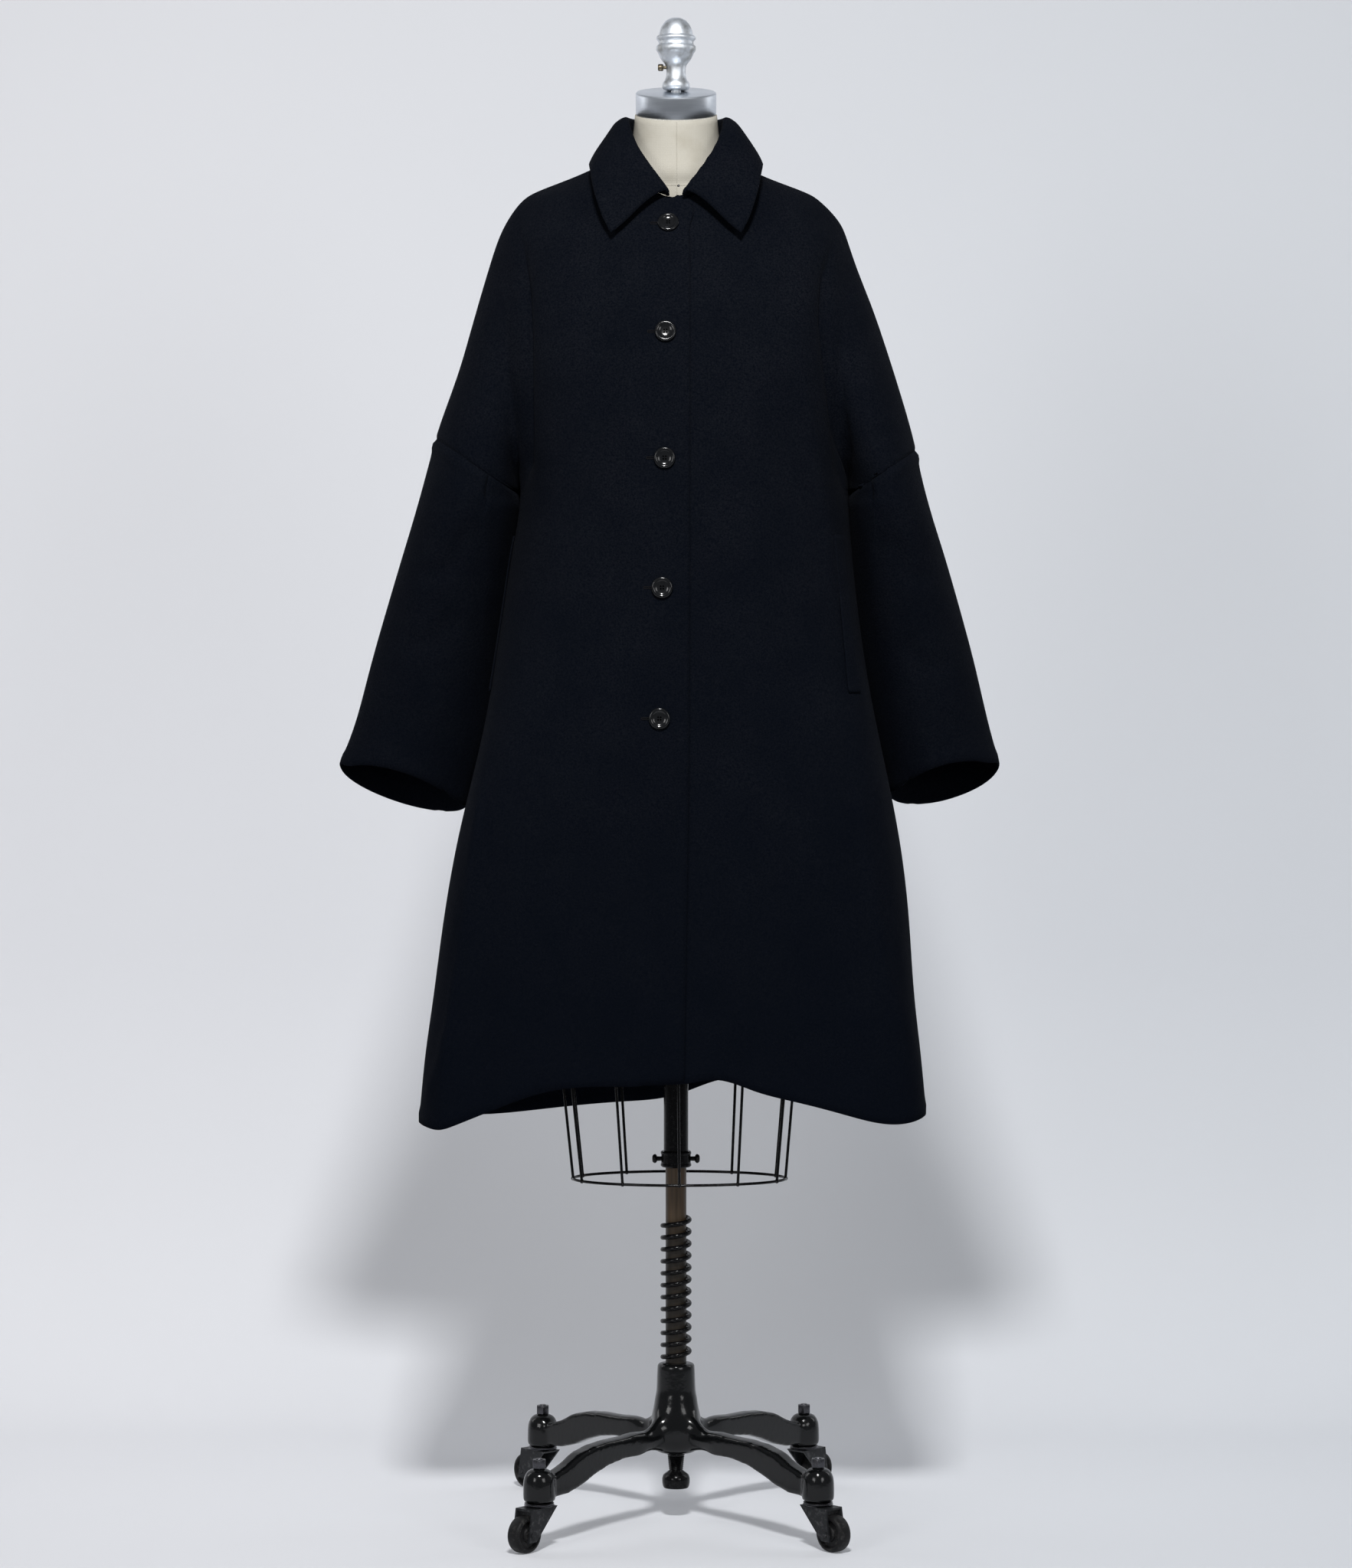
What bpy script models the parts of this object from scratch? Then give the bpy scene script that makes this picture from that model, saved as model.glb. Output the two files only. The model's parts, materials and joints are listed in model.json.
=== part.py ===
"""A long wool coat on a dress form, which stands on a pole and a cast base with casters.

Blender 4.5, in metres, +Z up. X is to the right as the coat is seen from its front, the front faces -Y, and the pole
stands on the Z axis with the floor at z = 0. The wearer's right is at -X.
"""

import math

import bmesh
import bpy
import numpy as np
from mathutils import Matrix, Vector

# Cloth and fit
WALL = 0.0028  # heavy wool with its turned edges
SEAM_SHIFT = 0.0002  # each piece stops this far short of its seam
LAP_GAP = 0.0010  # between the lapped fronts
FIT = 0.0003  # between pieces that touch

# Coat levels
TOP_Z = 1.630
UNDERARM_Z = 1.228
SIDE_Y = 0.012  # plane of the side seams and of the line over the shoulder and arm
LEFT, RIGHT = -1, 1  # sides of the picture
FRONT, BACK = -1, 1


def table(columns, *rows):
    """Named columns of numbers, ordered by the first one."""
    values = np.array(sorted(rows), float)
    return dict(zip(columns.split(), values.T))


def read(tab, column, at):
    """A column's value at a place in the first column, by a monotone cubic through the rows."""
    places = next(iter(tab.values()))
    values = tab[column]
    steps = np.diff(places)
    slopes = np.diff(values) / steps
    tangents = np.zeros_like(values)
    tangents[0], tangents[-1] = slopes[0], slopes[-1]
    before, after = slopes[:-1], slopes[1:]
    rising = before * after > 0
    total = np.where(rising, before + after, 1.0)
    tangents[1:-1] = np.where(rising, 2 * before * after / total, 0.0)
    at = np.clip(at, places[0], places[-1])
    i = np.clip(np.searchsorted(places, at) - 1, 0, len(steps) - 1)
    t = (at - places[i]) / steps[i]
    ends = (1 + 2 * t) * (1 - t) ** 2 * values[i] + t * t * (3 - 2 * t) * values[i + 1]
    return ends + steps[i] * (t * (1 - t) ** 2 * tangents[i] - t * t * (1 - t) * tangents[i + 1])


def smooth(start, end, value):
    """0 before start, 1 after end, and a smooth step between them."""
    t = np.clip((value - start) / (end - start), 0.0, 1.0)
    return t * t * (3 - 2 * t)


# Body of the coat: half-width on each side, depth before and behind the pole, and how square each quarter is.
BODY = table(
    "z left right front back left_square right_square back_square",
    (1.630, 0.0740, 0.0690, 0.028, 0.066, 2.0, 2.0, 2.0),
    (1.612, 0.1080, 0.0930, 0.042, 0.074, 2.0, 2.0, 2.0),
    (1.600, 0.1380, 0.1260, 0.055, 0.081, 2.1, 2.1, 2.1),
    (1.584, 0.1730, 0.1600, 0.068, 0.090, 2.2, 2.2, 2.2),
    (1.565, 0.1890, 0.1810, 0.080, 0.099, 2.3, 2.3, 2.3),
    (1.547, 0.2000, 0.1930, 0.091, 0.106, 2.4, 2.4, 2.4),
    (1.510, 0.2110, 0.2060, 0.112, 0.118, 2.5, 2.5, 2.5),
    (1.450, 0.2140, 0.2110, 0.136, 0.128, 2.6, 2.6, 2.5),
    (1.380, 0.2110, 0.2090, 0.150, 0.130, 2.7, 2.7, 2.5),
    (1.300, 0.2000, 0.2060, 0.155, 0.130, 2.7, 2.7, 2.5),
    (1.228, 0.1870, 0.2070, 0.157, 0.132, 2.7, 2.7, 2.5),
    (1.140, 0.1990, 0.2130, 0.159, 0.136, 2.9, 2.8, 2.5),
    (1.040, 0.2140, 0.2250, 0.161, 0.144, 3.4, 3.0, 2.6),
    (0.940, 0.2300, 0.2430, 0.163, 0.153, 5.0, 3.6, 2.7),
    (0.850, 0.2525, 0.2625, 0.165, 0.162, 6.3, 4.0, 2.8),
    (0.740, 0.2735, 0.2770, 0.167, 0.171, 6.5, 4.3, 2.9),
    (0.640, 0.2870, 0.2830, 0.169, 0.179, 7.0, 5.2, 3.0),
    (0.540, 0.3005, 0.2925, 0.171, 0.187, 7.5, 7.5, 3.1),
    (0.470, 0.3065, 0.2985, 0.172, 0.192, 7.8, 8.0, 3.2),
)

# Arms of the coat: inner and outer edge and half-depth on each side, the plane of the arm's middle, and how soft the
# armhole crease is.
ARM = table(
    "z left_in left_out right_in right_out left_depth right_depth middle_y soft",
    (1.630, 0.0300, 0.0785, 0.0300, 0.0735, 0.014, 0.014, SIDE_Y, 0.0020),
    (1.612, 0.0400, 0.1140, 0.0380, 0.0970, 0.022, 0.022, SIDE_Y, 0.0040),
    (1.600, 0.0500, 0.1440, 0.0460, 0.1320, 0.030, 0.030, SIDE_Y, 0.0060),
    (1.584, 0.0620, 0.1795, 0.0560, 0.1660, 0.042, 0.042, SIDE_Y, 0.0100),
    (1.565, 0.0750, 0.1960, 0.0660, 0.1880, 0.052, 0.052, SIDE_Y, 0.0140),
    (1.547, 0.0820, 0.2075, 0.0740, 0.2000, 0.059, 0.059, SIDE_Y, 0.0170),
    (1.510, 0.0980, 0.2210, 0.0900, 0.2130, 0.070, 0.070, SIDE_Y, 0.0200),
    (1.450, 0.1170, 0.2390, 0.1180, 0.2360, 0.079, 0.080, SIDE_Y, 0.0180),
    (1.380, 0.1390, 0.2595, 0.1450, 0.2600, 0.084, 0.086, SIDE_Y, 0.0130),
    (1.300, 0.1650, 0.2875, 0.1770, 0.2840, 0.088, 0.093, SIDE_Y, 0.0060),
    (1.228, 0.1870, 0.3070, 0.2070, 0.3005, 0.090, 0.097, SIDE_Y, 0.0005),
    (1.140, 0.1992, 0.3345, 0.2132, 0.3285, 0.084, 0.090, 0.030, 0.0005),
    (1.040, 0.2128, 0.3650, 0.2238, 0.3570, 0.073, 0.080, 0.045, 0.0005),
    (0.940, 0.2285, 0.3940, 0.2415, 0.3820, 0.060, 0.070, 0.052, 0.0005),
    (0.912, 0.2368, 0.4060, 0.2480, 0.3905, 0.057, 0.067, 0.053, 0.0005),
    (0.870, 0.2500, 0.4150, 0.2580, 0.3995, 0.052, 0.063, 0.054, 0.0005),
    (0.820, 0.2620, 0.4210, 0.2700, 0.4050, 0.048, 0.058, 0.054, 0.0005),
)

# Height of the hem along the width, on the front and on the back.
HEM = table(
    "x front back",
    (-0.305, 0.4860, 0.4860),
    (-0.280, 0.4830, 0.4710),
    (-0.226, 0.5030, 0.4660),
    (-0.124, 0.5335, 0.4745),
    (0.000, 0.5365, 0.4870),
    (0.059, 0.5430, 0.5080),
    (0.072, 0.5360, 0.5060),
    (0.115, 0.5235, 0.4990),
    (0.170, 0.5090, 0.4920),
    (0.260, 0.4895, 0.4830),
    (0.298, 0.4960, 0.4960),
)

# Largest folds of the skirt and the fronts: a crest from its top to its low end, its half-width and its rise.
FOLDS = (
    dict(face=FRONT, top=(-0.222, 1.00), low=(-0.281, 0.48), half_width=0.010, rise=0.0060),
    dict(face=FRONT, top=(0.160, 1.42), low=(0.285, 0.52), half_width=0.016, rise=0.0050),
    dict(face=FRONT, top=(-0.110, 1.05), low=(-0.150, 0.47), half_width=0.045, rise=0.0060),
    dict(face=FRONT, top=(0.070, 0.90), low=(0.090, 0.47), half_width=0.040, rise=0.0050),
    dict(face=BACK, top=(-0.150, 1.05), low=(-0.190, 0.45), half_width=0.045, rise=0.0080),
    dict(face=BACK, top=(0.030, 1.15), low=(0.050, 0.45), half_width=0.050, rise=0.0070),
    dict(face=BACK, top=(0.150, 1.05), low=(0.200, 0.45), half_width=0.045, rise=0.0080),
)

# Neckline of the fronts: how far from the middle it is at each height.
NECKLINE = table("z x", (1.570, 0.0), (1.585, 0.031), (1.602, 0.050), (1.617, 0.058), (1.630, 0.0620))
NECK_FRONT_Z = 1.571

# Lapped edge of the front that lies on top, and how far the other front runs under it.
LAP_EDGE = table("z x", (1.57, 0.0160), (1.0, 0.0150), (0.5, 0.0085))
UNDERLAP = 0.036
LAP_FADE = (-0.095, -0.050)

# Dropped shoulder seam: a plane that falls towards the body.
DROP_SLOPE = 0.66
DROP_X = {LEFT: 0.187, RIGHT: 0.207}

# Cuff: a plane that falls towards the body and the back.
CUFF = {
    LEFT: dict(z=0.879, slope_x=0.30, slope_y=-0.48),
    RIGHT: dict(z=0.886, slope_x=0.26, slope_y=-0.45),
}

UPPER_ROWS = (
    1.630, 1.617, 1.602, 1.585, 1.570, 1.545, 1.515, 1.475, 1.430, 1.380, 1.335, 1.295, 1.265, 1.245, 1.234, 1.228
)
LOWER_ROWS = (0.04, 0.10, 0.18, 0.27, 0.36, 0.45, 0.54, 0.63, 0.72, 0.81, 0.90, 1.0)
FRONT_COLUMNS = 14
BACK_COLUMNS = 9
ARM_COLUMNS = 7
SLEEVE_ROWS = 9
SLEEVE_SEAM = 2  # columns from the underarm to the seam between the sleeve's two pieces
DENSE = 60

# Buttons, from the neck down, on the front that lies on top
BUTTONS = (
    dict(x=-0.009, z=1.545),
    dict(x=-0.012, z=1.415),
    dict(x=-0.013, z=1.2675),
    dict(x=-0.016, z=1.1165),
    dict(x=-0.019, z=0.964),
)
BUTTON_RADIUS = 0.0125
BUTTON_HEIGHT = 0.0044

# Pocket welts: the mouth edge from its top to its low end, and the strip's width and thickness
WELT_TOP = (0.185, 1.178)
WELT_LOW = (0.202, 0.994)
WELT_WIDTH = 0.020
WELT_THICKNESS = 0.0024
WELT_LIFT = 0.0007
WELT_AROUND = {LEFT: 0.052, RIGHT: 0.0}  # how much further around the side it lies

SIDE_NAME = {LEFT: "left", RIGHT: "right"}
SIDE_OF = {LEFT: "right", RIGHT: "left"}  # the wearer's side


def superellipse(angle, square):
    """A point of the unit superellipse at a polar angle: across and along."""
    across = np.sin(angle)
    along = np.cos(angle)
    size = (np.abs(across) ** square + np.abs(along) ** square) ** (1 / square)
    return across / size, along / size


def body_shape(side, face, z):
    """Half-width, depth and squareness of one quarter of the body at a height."""
    half = read(BODY, SIDE_NAME[side], z)
    if face == FRONT:
        return half, read(BODY, "front", z) + SIDE_Y, read(BODY, SIDE_NAME[side] + "_square", z)
    return half, read(BODY, "back", z) - SIDE_Y, read(BODY, "back_square", z)


def fold_rise(face, x, z, along):
    """How far the folds stand out at a place of the front or the back. It fades out at the side seams."""
    rise = 0.0
    for fold in FOLDS:
        if fold["face"] != face:
            continue
        (top_x, top_z), (low_x, low_z) = fold["top"], fold["low"]
        t = (top_z - z) / (top_z - low_z)
        centre = top_x + (low_x - top_x) * np.clip(t, 0, 1)
        rise += fold["rise"] * smooth(0.0, 0.35, t) * np.exp(-(((x - centre) / fold["half_width"]) ** 2))
    return rise * smooth(0.0, 0.5, along)


def body_point(side, face, z, angle):
    """A point of the body's outer face. The angle is 0 at the middle and a right angle at the side seam."""
    half, depth, square = body_shape(side, face, z)
    across, along = superellipse(angle, square)
    x = side * half * across
    rise = fold_rise(face, x, z, along)
    if face == FRONT and side == LEFT:
        rise = rise + (WALL + LAP_GAP) * smooth(*LAP_FADE, x)
    return np.array([x, SIDE_Y + face * (depth * along + rise), z + 0 * x])


def angle_at(side, face, z, x):
    """The angle of the body point at a distance from the middle, taken towards the side."""
    half, _, square = body_shape(side, face, z)
    across = np.clip(x / half, -0.98, 0.98)
    return math.atan2(across, (1 - abs(across) ** square) ** (1 / square))


def arm_shape(side, z):
    name = SIDE_NAME[side]
    inner = read(ARM, name + "_in", z)
    outer = read(ARM, name + "_out", z)
    return (inner + outer) / 2, (outer - inner) / 2, read(ARM, name + "_depth", z)


def arm_point(side, face, z, angle):
    """A point of the arm. The angle is 0 over the arm and two right angles at the underarm."""
    centre, half, depth = arm_shape(side, z)
    x = side * (centre + half * np.cos(angle))
    return np.array([x, read(ARM, "middle_y", z) + face * depth * np.sin(angle), z + 0 * x])


def crease_angles(side, face, z):
    """Where body and arm cross at a height: the body's angle and the arm's angle."""
    if z <= UNDERARM_Z + 1e-6:
        return math.pi / 2, math.pi
    centre, half, depth = arm_shape(side, z)
    angles = np.linspace(0.3, math.pi / 2, 400)
    points = body_point(side, face, z, angles)
    outside = ((np.abs(points[0]) - centre) / half) ** 2 + ((points[1] - SIDE_Y) / depth) ** 2 - 1
    within = np.nonzero(outside < 0)[0]
    if len(within) == 0:
        return math.pi / 2, math.pi
    i = max(within[0], 1)
    share = outside[i - 1] / (outside[i - 1] - outside[i])
    body_angle = angles[i - 1] + share * (angles[i] - angles[i - 1])
    x, y, _ = body_point(side, face, z, body_angle)
    return body_angle, math.atan2(face * (y - SIDE_Y) / depth, (abs(x) - centre) / half)


def upper_row(side, face, z, start):
    """One level of body and arm above the underarm, from the middle to the line over the arm, as two runs."""
    body_end, arm_start = crease_angles(side, face, z)
    body = body_point(side, face, z, np.linspace(angle_at(side, face, z, start), body_end, DENSE + 1))
    arm = arm_point(side, face, z, np.linspace(arm_start, 0.0, DENSE + 1))
    run = np.concatenate([body, arm[:, 1:]], axis=1).T
    lengths = np.linalg.norm(np.diff(run, axis=0), axis=1)
    along = np.concatenate([[0.0], np.cumsum(lengths)])
    soft = read(ARM, "soft", z)
    weights = np.exp(-(((along[:, None] - along[None, :]) / soft) ** 2)) * np.gradient(along)[None, :]
    softened = weights @ run / weights.sum(axis=1, keepdims=True)
    near = np.exp(-(((along - along[DENSE]) / (2.5 * soft)) ** 2))
    near *= smooth(0.0, 0.012, along) * smooth(0.0, 0.012, along[-1] - along)
    run = run + near[:, None] * (softened - run)
    return run[: DENSE + 1], run[DENSE:]


def along_run(run, share):
    """The point at a share of a run's samples."""
    place = share * (len(run) - 1)
    i = min(int(place), len(run) - 2)
    return run[i] + (place - i) * (run[i + 1] - run[i])


def start_of(side, face, z):
    """Where a panel starts at a height, measured from the middle towards its side."""
    if face == BACK:
        return 0.0
    if z > NECK_FRONT_Z:
        return float(read(NECKLINE, "x", z))
    return -float(read(LAP_EDGE, "x", z)) if side == LEFT else -UNDERLAP


def column_shares(count):
    """Shares from the middle to the side that are closer together at the turn between front and side."""
    t = np.linspace(-1, 1, count + 1)
    return 0.5 + 0.5 * np.sign(t) * np.abs(t) ** 1.25


def hem_at(side, face, share):
    """The hem's height below a column."""
    z = 0.5
    for _ in range(3):
        start = angle_at(side, face, z, start_of(side, face, z))
        x = body_point(side, face, z, start + (math.pi / 2 - start) * share)[0]
        z = float(read(HEM, "front" if face == FRONT else "back", x))
    return z


def drop_seam_z(side, x):
    return UNDERARM_Z + DROP_SLOPE * (abs(x) - DROP_X[side])


def drop_seam_point(side, face, k):
    """A point of the dropped shoulder seam, k columns from the underarm, and its angle on the arm."""
    if k == 0:
        return arm_point(side, face, UNDERARM_Z, math.pi), math.pi
    z = 1.26
    for _ in range(12):
        angle = crease_angles(side, face, z)[1] * (1 - k / ARM_COLUMNS)
        z = float(drop_seam_z(side, arm_point(side, face, z, angle)[0]))
    return arm_point(side, face, z, angle), angle


def half_panel(side, face, columns):
    """The grids of half a body: the body itself, and the dropped shoulder that runs on over the arm."""
    shares = column_shares(columns)
    hems = [hem_at(side, face, share) for share in shares]
    body = []
    shoulder = []
    seam = [drop_seam_point(side, face, k)[0] for k in range(ARM_COLUMNS + 1)]
    for z in UPPER_ROWS:
        run = upper_row(side, face, z, start_of(side, face, z))[0]
        body.append([along_run(run, share) for share in shares])
        fall = (TOP_Z - z) / (TOP_Z - UNDERARM_Z)
        row = [body[-1][-1]]
        for k in range(1, ARM_COLUMNS + 1):
            level = TOP_Z - (TOP_Z - seam[k][2]) * fall
            arm_run = upper_row(side, face, level, start_of(side, face, level))[1]
            row.append(along_run(arm_run, k / ARM_COLUMNS))
        shoulder.append(row)
    shoulder[-1] = [body[-1][-1]] + seam[1:]
    for fall in LOWER_ROWS:
        row = []
        for share, hem in zip(shares, hems):
            z = UNDERARM_Z - (UNDERARM_Z - hem) * fall
            start = angle_at(side, face, z, start_of(side, face, z))
            row.append(body_point(side, face, z, start + (math.pi / 2 - start) * share))
        body.append(row)
    return [np.array(body), np.array(shoulder)]


def sleeve_grid(side):
    """A sleeve's rows, from the dropped seam to the cuff, around from the underarm by the front and the back."""
    around = [(FRONT, k) for k in range(ARM_COLUMNS + 1)]
    around += [(BACK, k) for k in range(ARM_COLUMNS - 1, -1, -1)]
    columns = []
    plane = CUFF[side]
    for face, k in around:
        top, top_angle = drop_seam_point(side, face, k)
        low_angle = math.pi * (1 - k / ARM_COLUMNS)
        cuff = plane["z"]
        for _ in range(4):
            x, y, _ = arm_point(side, face, cuff, low_angle)
            across = abs(x) - arm_shape(side, cuff)[0]
            cuff = plane["z"] + plane["slope_x"] * across + plane["slope_y"] * (y - read(ARM, "middle_y", cuff))
        column = [top]
        for step in range(1, SLEEVE_ROWS + 1):
            share = step / SLEEVE_ROWS
            angle = top_angle + (low_angle - top_angle) * smooth(0.0, 0.4, share)
            column.append(arm_point(side, face, top[2] + (cuff - top[2]) * share, angle))
        columns.append(column)
    return np.array(columns).transpose(1, 0, 2)


# Collar: the fold line and the outer edge from the front to the middle of the back, on the right of the picture.
# The stand starts at the neckline, at neck_z on the front and then around the back.
COLLAR = table(
    "a neck_x neck_y neck_z roll_x roll_y roll_z edge_x edge_y edge_z",
    (0.00, 0.0070, -0.0768, 1.5806, 0.0085, -0.0855, 1.5862, 0.0770, -0.1150, 1.5285),
    (0.15, 0.0265, -0.0690, 1.5870, 0.0262, -0.0765, 1.6125, 0.0885, -0.1040, 1.5630),
    (0.35, 0.0475, -0.0455, 1.6050, 0.0465, -0.0500, 1.6480, 0.0985, -0.0850, 1.5940),
    (0.55, 0.0588, -0.0080, 1.6290, 0.0550, -0.0060, 1.6800, 0.1045, -0.0300, 1.6235),
    (0.66, 0.0560, 0.0200, 1.6325, 0.0525, 0.0190, 1.6808, 0.1020, 0.0260, 1.6235),
    (0.77, 0.0465, 0.0430, 1.6330, 0.0440, 0.0410, 1.6812, 0.0900, 0.0720, 1.6165),
    (1.00, 0.0000, 0.0620, 1.6330, 0.0000, 0.0590, 1.6815, 0.0000, 0.1150, 1.6010),
)
COLLAR_STATIONS = 12
COLLAR_FOLD = 0.0065  # radius of the fold between stand and fall
COLLAR_SWELL = 0.0035  # how far the fall stands above a straight line
STAND_SHARES = (0.0, 0.45, 0.85)
FALL_SHARES = (0.12, 0.3, 0.5, 0.75, 1.0)


def collar_section(a):
    """Across the collar at one station: up the stand, over the fold and down the fall."""
    neck, roll, edge = (
        np.array([read(COLLAR, f"{name}_{axis}", a) for axis in "xyz"]) for name in ("neck", "roll", "edge")
    )
    out = edge - roll
    out[2] = 0.0
    out /= np.linalg.norm(out)
    up = np.array([0.0, 0.0, 1.0])
    points = [neck + (roll - neck) * share for share in STAND_SHARES]
    points.append(roll + out * COLLAR_FOLD * 0.5 + up * COLLAR_FOLD * 0.35)
    shoulder = roll + out * COLLAR_FOLD * 2.0
    bulge = shoulder + (edge - shoulder) * 0.5 + up * 2 * COLLAR_SWELL
    for t in FALL_SHARES:
        points.append((1 - t) ** 2 * shoulder + 2 * t * (1 - t) * bulge + t * t * edge)
    return points


def collar_grid():
    half = [collar_section(step / COLLAR_STATIONS) for step in range(COLLAR_STATIONS + 1)]
    mirrored = [[point * np.array([-1, 1, 1]) for point in section] for section in half[:-1]]
    return np.array(mirrored + half[::-1])


class Cloth:
    """The pieces of the garment as grids of points whose seams share points, so that they share normals too."""

    def __init__(self):
        self.pieces = {}
        self.normals = {}
        self.own_normals = {}

    def add(self, name, grids, flip):
        """A piece from grids that share the points along their common edge."""
        points = {}
        faces = []
        for grid in grids:
            rows, columns = grid.shape[:2]
            for i in range(rows - 1):
                for j in range(columns - 1):
                    corners = [grid[i, j], grid[i + 1, j], grid[i + 1, j + 1], grid[i, j + 1]]
                    if flip:
                        corners.reverse()
                    self.add_face(points, faces, corners)
        self.pieces[name] = (points, faces)

    def add_face(self, points, faces, corners):
        keys = [tuple(np.round(corner, 6)) for corner in corners]
        for key, corner in zip(keys, corners):
            points[key] = corner
        normal = np.cross(corners[2] - corners[0], corners[3] - corners[1])
        for key in keys:
            self.normals[key] = self.normals.get(key, np.zeros(3)) + normal
        faces.append(keys)

    def shift(self, name, thickness):
        """Outer and inner points of a piece, with its edges drawn back a little from the seams."""
        points, faces = self.pieces[name]
        uses = {}
        centres = {}
        for keys in faces:
            centre = np.mean([points[key] for key in keys], axis=0)
            for n, key in enumerate(keys):
                edge = frozenset((key, keys[(n + 1) % 4]))
                uses[edge] = uses.get(edge, 0) + 1
                centres.setdefault(key, []).append(centre)
        rim = {key for edge, count in uses.items() if count == 1 for key in edge}
        outer, inner = {}, {}
        for key, point in points.items():
            normal = self.own_normals.get((name, key), self.normals[key])
            normal = normal / np.linalg.norm(normal)
            place = np.array(point, float)
            if key in rim:
                inward = np.mean(centres[key], axis=0) - place
                inward -= normal * (inward @ normal)
                place = place + inward / np.linalg.norm(inward) * SEAM_SHIFT
            outer[key] = place
            inner[key] = place - normal * thickness
        return outer, inner, uses

    def build(self, name, material, thickness=WALL, lift=0.0):
        """The closed wall of a piece as an object. A lift moves it out from the points it was made from."""
        points, faces = self.pieces[name]
        outer, inner, uses = self.shift(name, thickness)
        mesh = bmesh.new()
        outs, ins = {}, {}
        for key in points:
            rise = (outer[key] - inner[key]) / thickness * lift
            outs[key] = mesh.verts.new(outer[key] + rise)
            ins[key] = mesh.verts.new(inner[key] + rise)
        for keys in faces:
            mesh.faces.new([outs[key] for key in keys])
            mesh.faces.new([ins[key] for key in reversed(keys)])
            for n, key in enumerate(keys):
                after = keys[(n + 1) % 4]
                if uses[frozenset((key, after))] == 1:
                    mesh.faces.new([outs[after], outs[key], ins[key], ins[after]])
        return add_mesh(name, mesh, material)


# Objects, materials and shared shapes

for leftover in list(bpy.data.objects):
    bpy.data.objects.remove(leftover)
parts = bpy.data.collections.new("coat_on_dress_form")
cutters = bpy.data.collections.new("cutters")
bpy.context.scene.collection.children.link(parts)
bpy.context.scene.collection.children.link(cutters)


def material(name, colour, roughness, metallic=0.0):
    made = bpy.data.materials.new(name)
    made.use_nodes = True
    shader = made.node_tree.nodes["Principled BSDF"]
    shader.inputs["Base Color"].default_value = (*colour, 1.0)
    shader.inputs["Roughness"].default_value = roughness
    shader.inputs["Metallic"].default_value = metallic
    made.diffuse_color = (*colour, 1.0)
    return made


WOOL = material("wool", (0.008, 0.008, 0.010), 0.95)
HORN = material("button_horn", (0.012, 0.011, 0.011), 0.35)
CANVAS = material("canvas", (0.62, 0.55, 0.43), 0.9)
CAP_METAL = material("cap_aluminium", (0.42, 0.41, 0.39), 0.4, 1.0)
CAST_METAL = material("cast_aluminium", (0.45, 0.43, 0.40), 0.45, 1.0)
BRASS = material("brass", (0.45, 0.33, 0.16), 0.4, 1.0)
BLACK_STEEL = material("black_steel", (0.012, 0.012, 0.013), 0.35, 0.6)
ENAMEL = material("black_enamel", (0.010, 0.011, 0.012), 0.3)
WOOD = material("stained_wood", (0.10, 0.065, 0.045), 0.55)
NUT_METAL = material("dark_chrome", (0.16, 0.16, 0.17), 0.25, 1.0)
RUBBER = material("black_rubber", (0.014, 0.014, 0.015), 0.6)


def add_object(name, data, made, collection=parts):
    obj = bpy.data.objects.new(name, data)
    collection.objects.link(obj)
    if made:
        data.materials.append(made)
    return obj


def add_mesh(name, mesh, made, collection=parts):
    data = bpy.data.meshes.new(name)
    mesh.to_mesh(data)
    mesh.free()
    return add_object(name, data, made, collection)


def turned(name, profile, segments, made, matrix=Matrix(), collection=parts):
    """A profile of radius and height, listed from the top down, turned about its Z axis."""
    data = bpy.data.meshes.new(name)
    edges = [(i, i + 1) for i in range(len(profile) - 1)]
    if profile[0][0] > 0:
        edges.append((len(profile) - 1, 0))
    data.from_pydata([(radius, 0.0, height) for radius, height in profile], edges, [])
    obj = add_object(name, data, made, collection)
    screw = obj.modifiers.new("turn", "SCREW")
    screw.axis = "Z"
    screw.steps = segments
    screw.render_steps = segments
    screw.use_merge_vertices = True
    screw.merge_threshold = 0.00001
    obj.matrix_world = matrix
    return obj


def tube(name, points, radius, made, resolution=1, closed=False):
    """A wire of one radius along points."""
    data = bpy.data.curves.new(name, "CURVE")
    data.dimensions = "3D"
    data.bevel_depth = radius
    data.bevel_resolution = resolution
    data.use_fill_caps = not closed
    spline = data.splines.new("POLY")
    spline.points.add(len(points) - 1)
    for target, point in zip(spline.points, points):
        target.co = (*point, 1.0)
    spline.use_cyclic_u = closed
    return add_object(name, data, made)


def loft(name, rings, made, collection=parts):
    """A closed body through rings of the same number of points, with its first and last ring filled."""
    mesh = bmesh.new()
    rows = [[mesh.verts.new(point) for point in ring] for ring in rings]
    count = len(rows[0])
    for upper, lower in zip(rows, rows[1:]):
        for j in range(count):
            k = (j + 1) % count
            mesh.faces.new([upper[j], lower[j], lower[k], upper[k]])
    mesh.faces.new(rows[0])
    mesh.faces.new(rows[-1][::-1])
    bmesh.ops.recalc_face_normals(mesh, faces=mesh.faces)
    return add_mesh(name, mesh, made, collection)


def boolean(obj, other, operation):
    """Joins a cutter to an object, or takes it away."""
    other.hide_render = True
    other.display_type = "WIRE"
    cut = obj.modifiers.new(operation.lower(), "BOOLEAN")
    cut.operation = operation
    cut.solver = "EXACT"
    cut.object = other


# Coat

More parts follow.
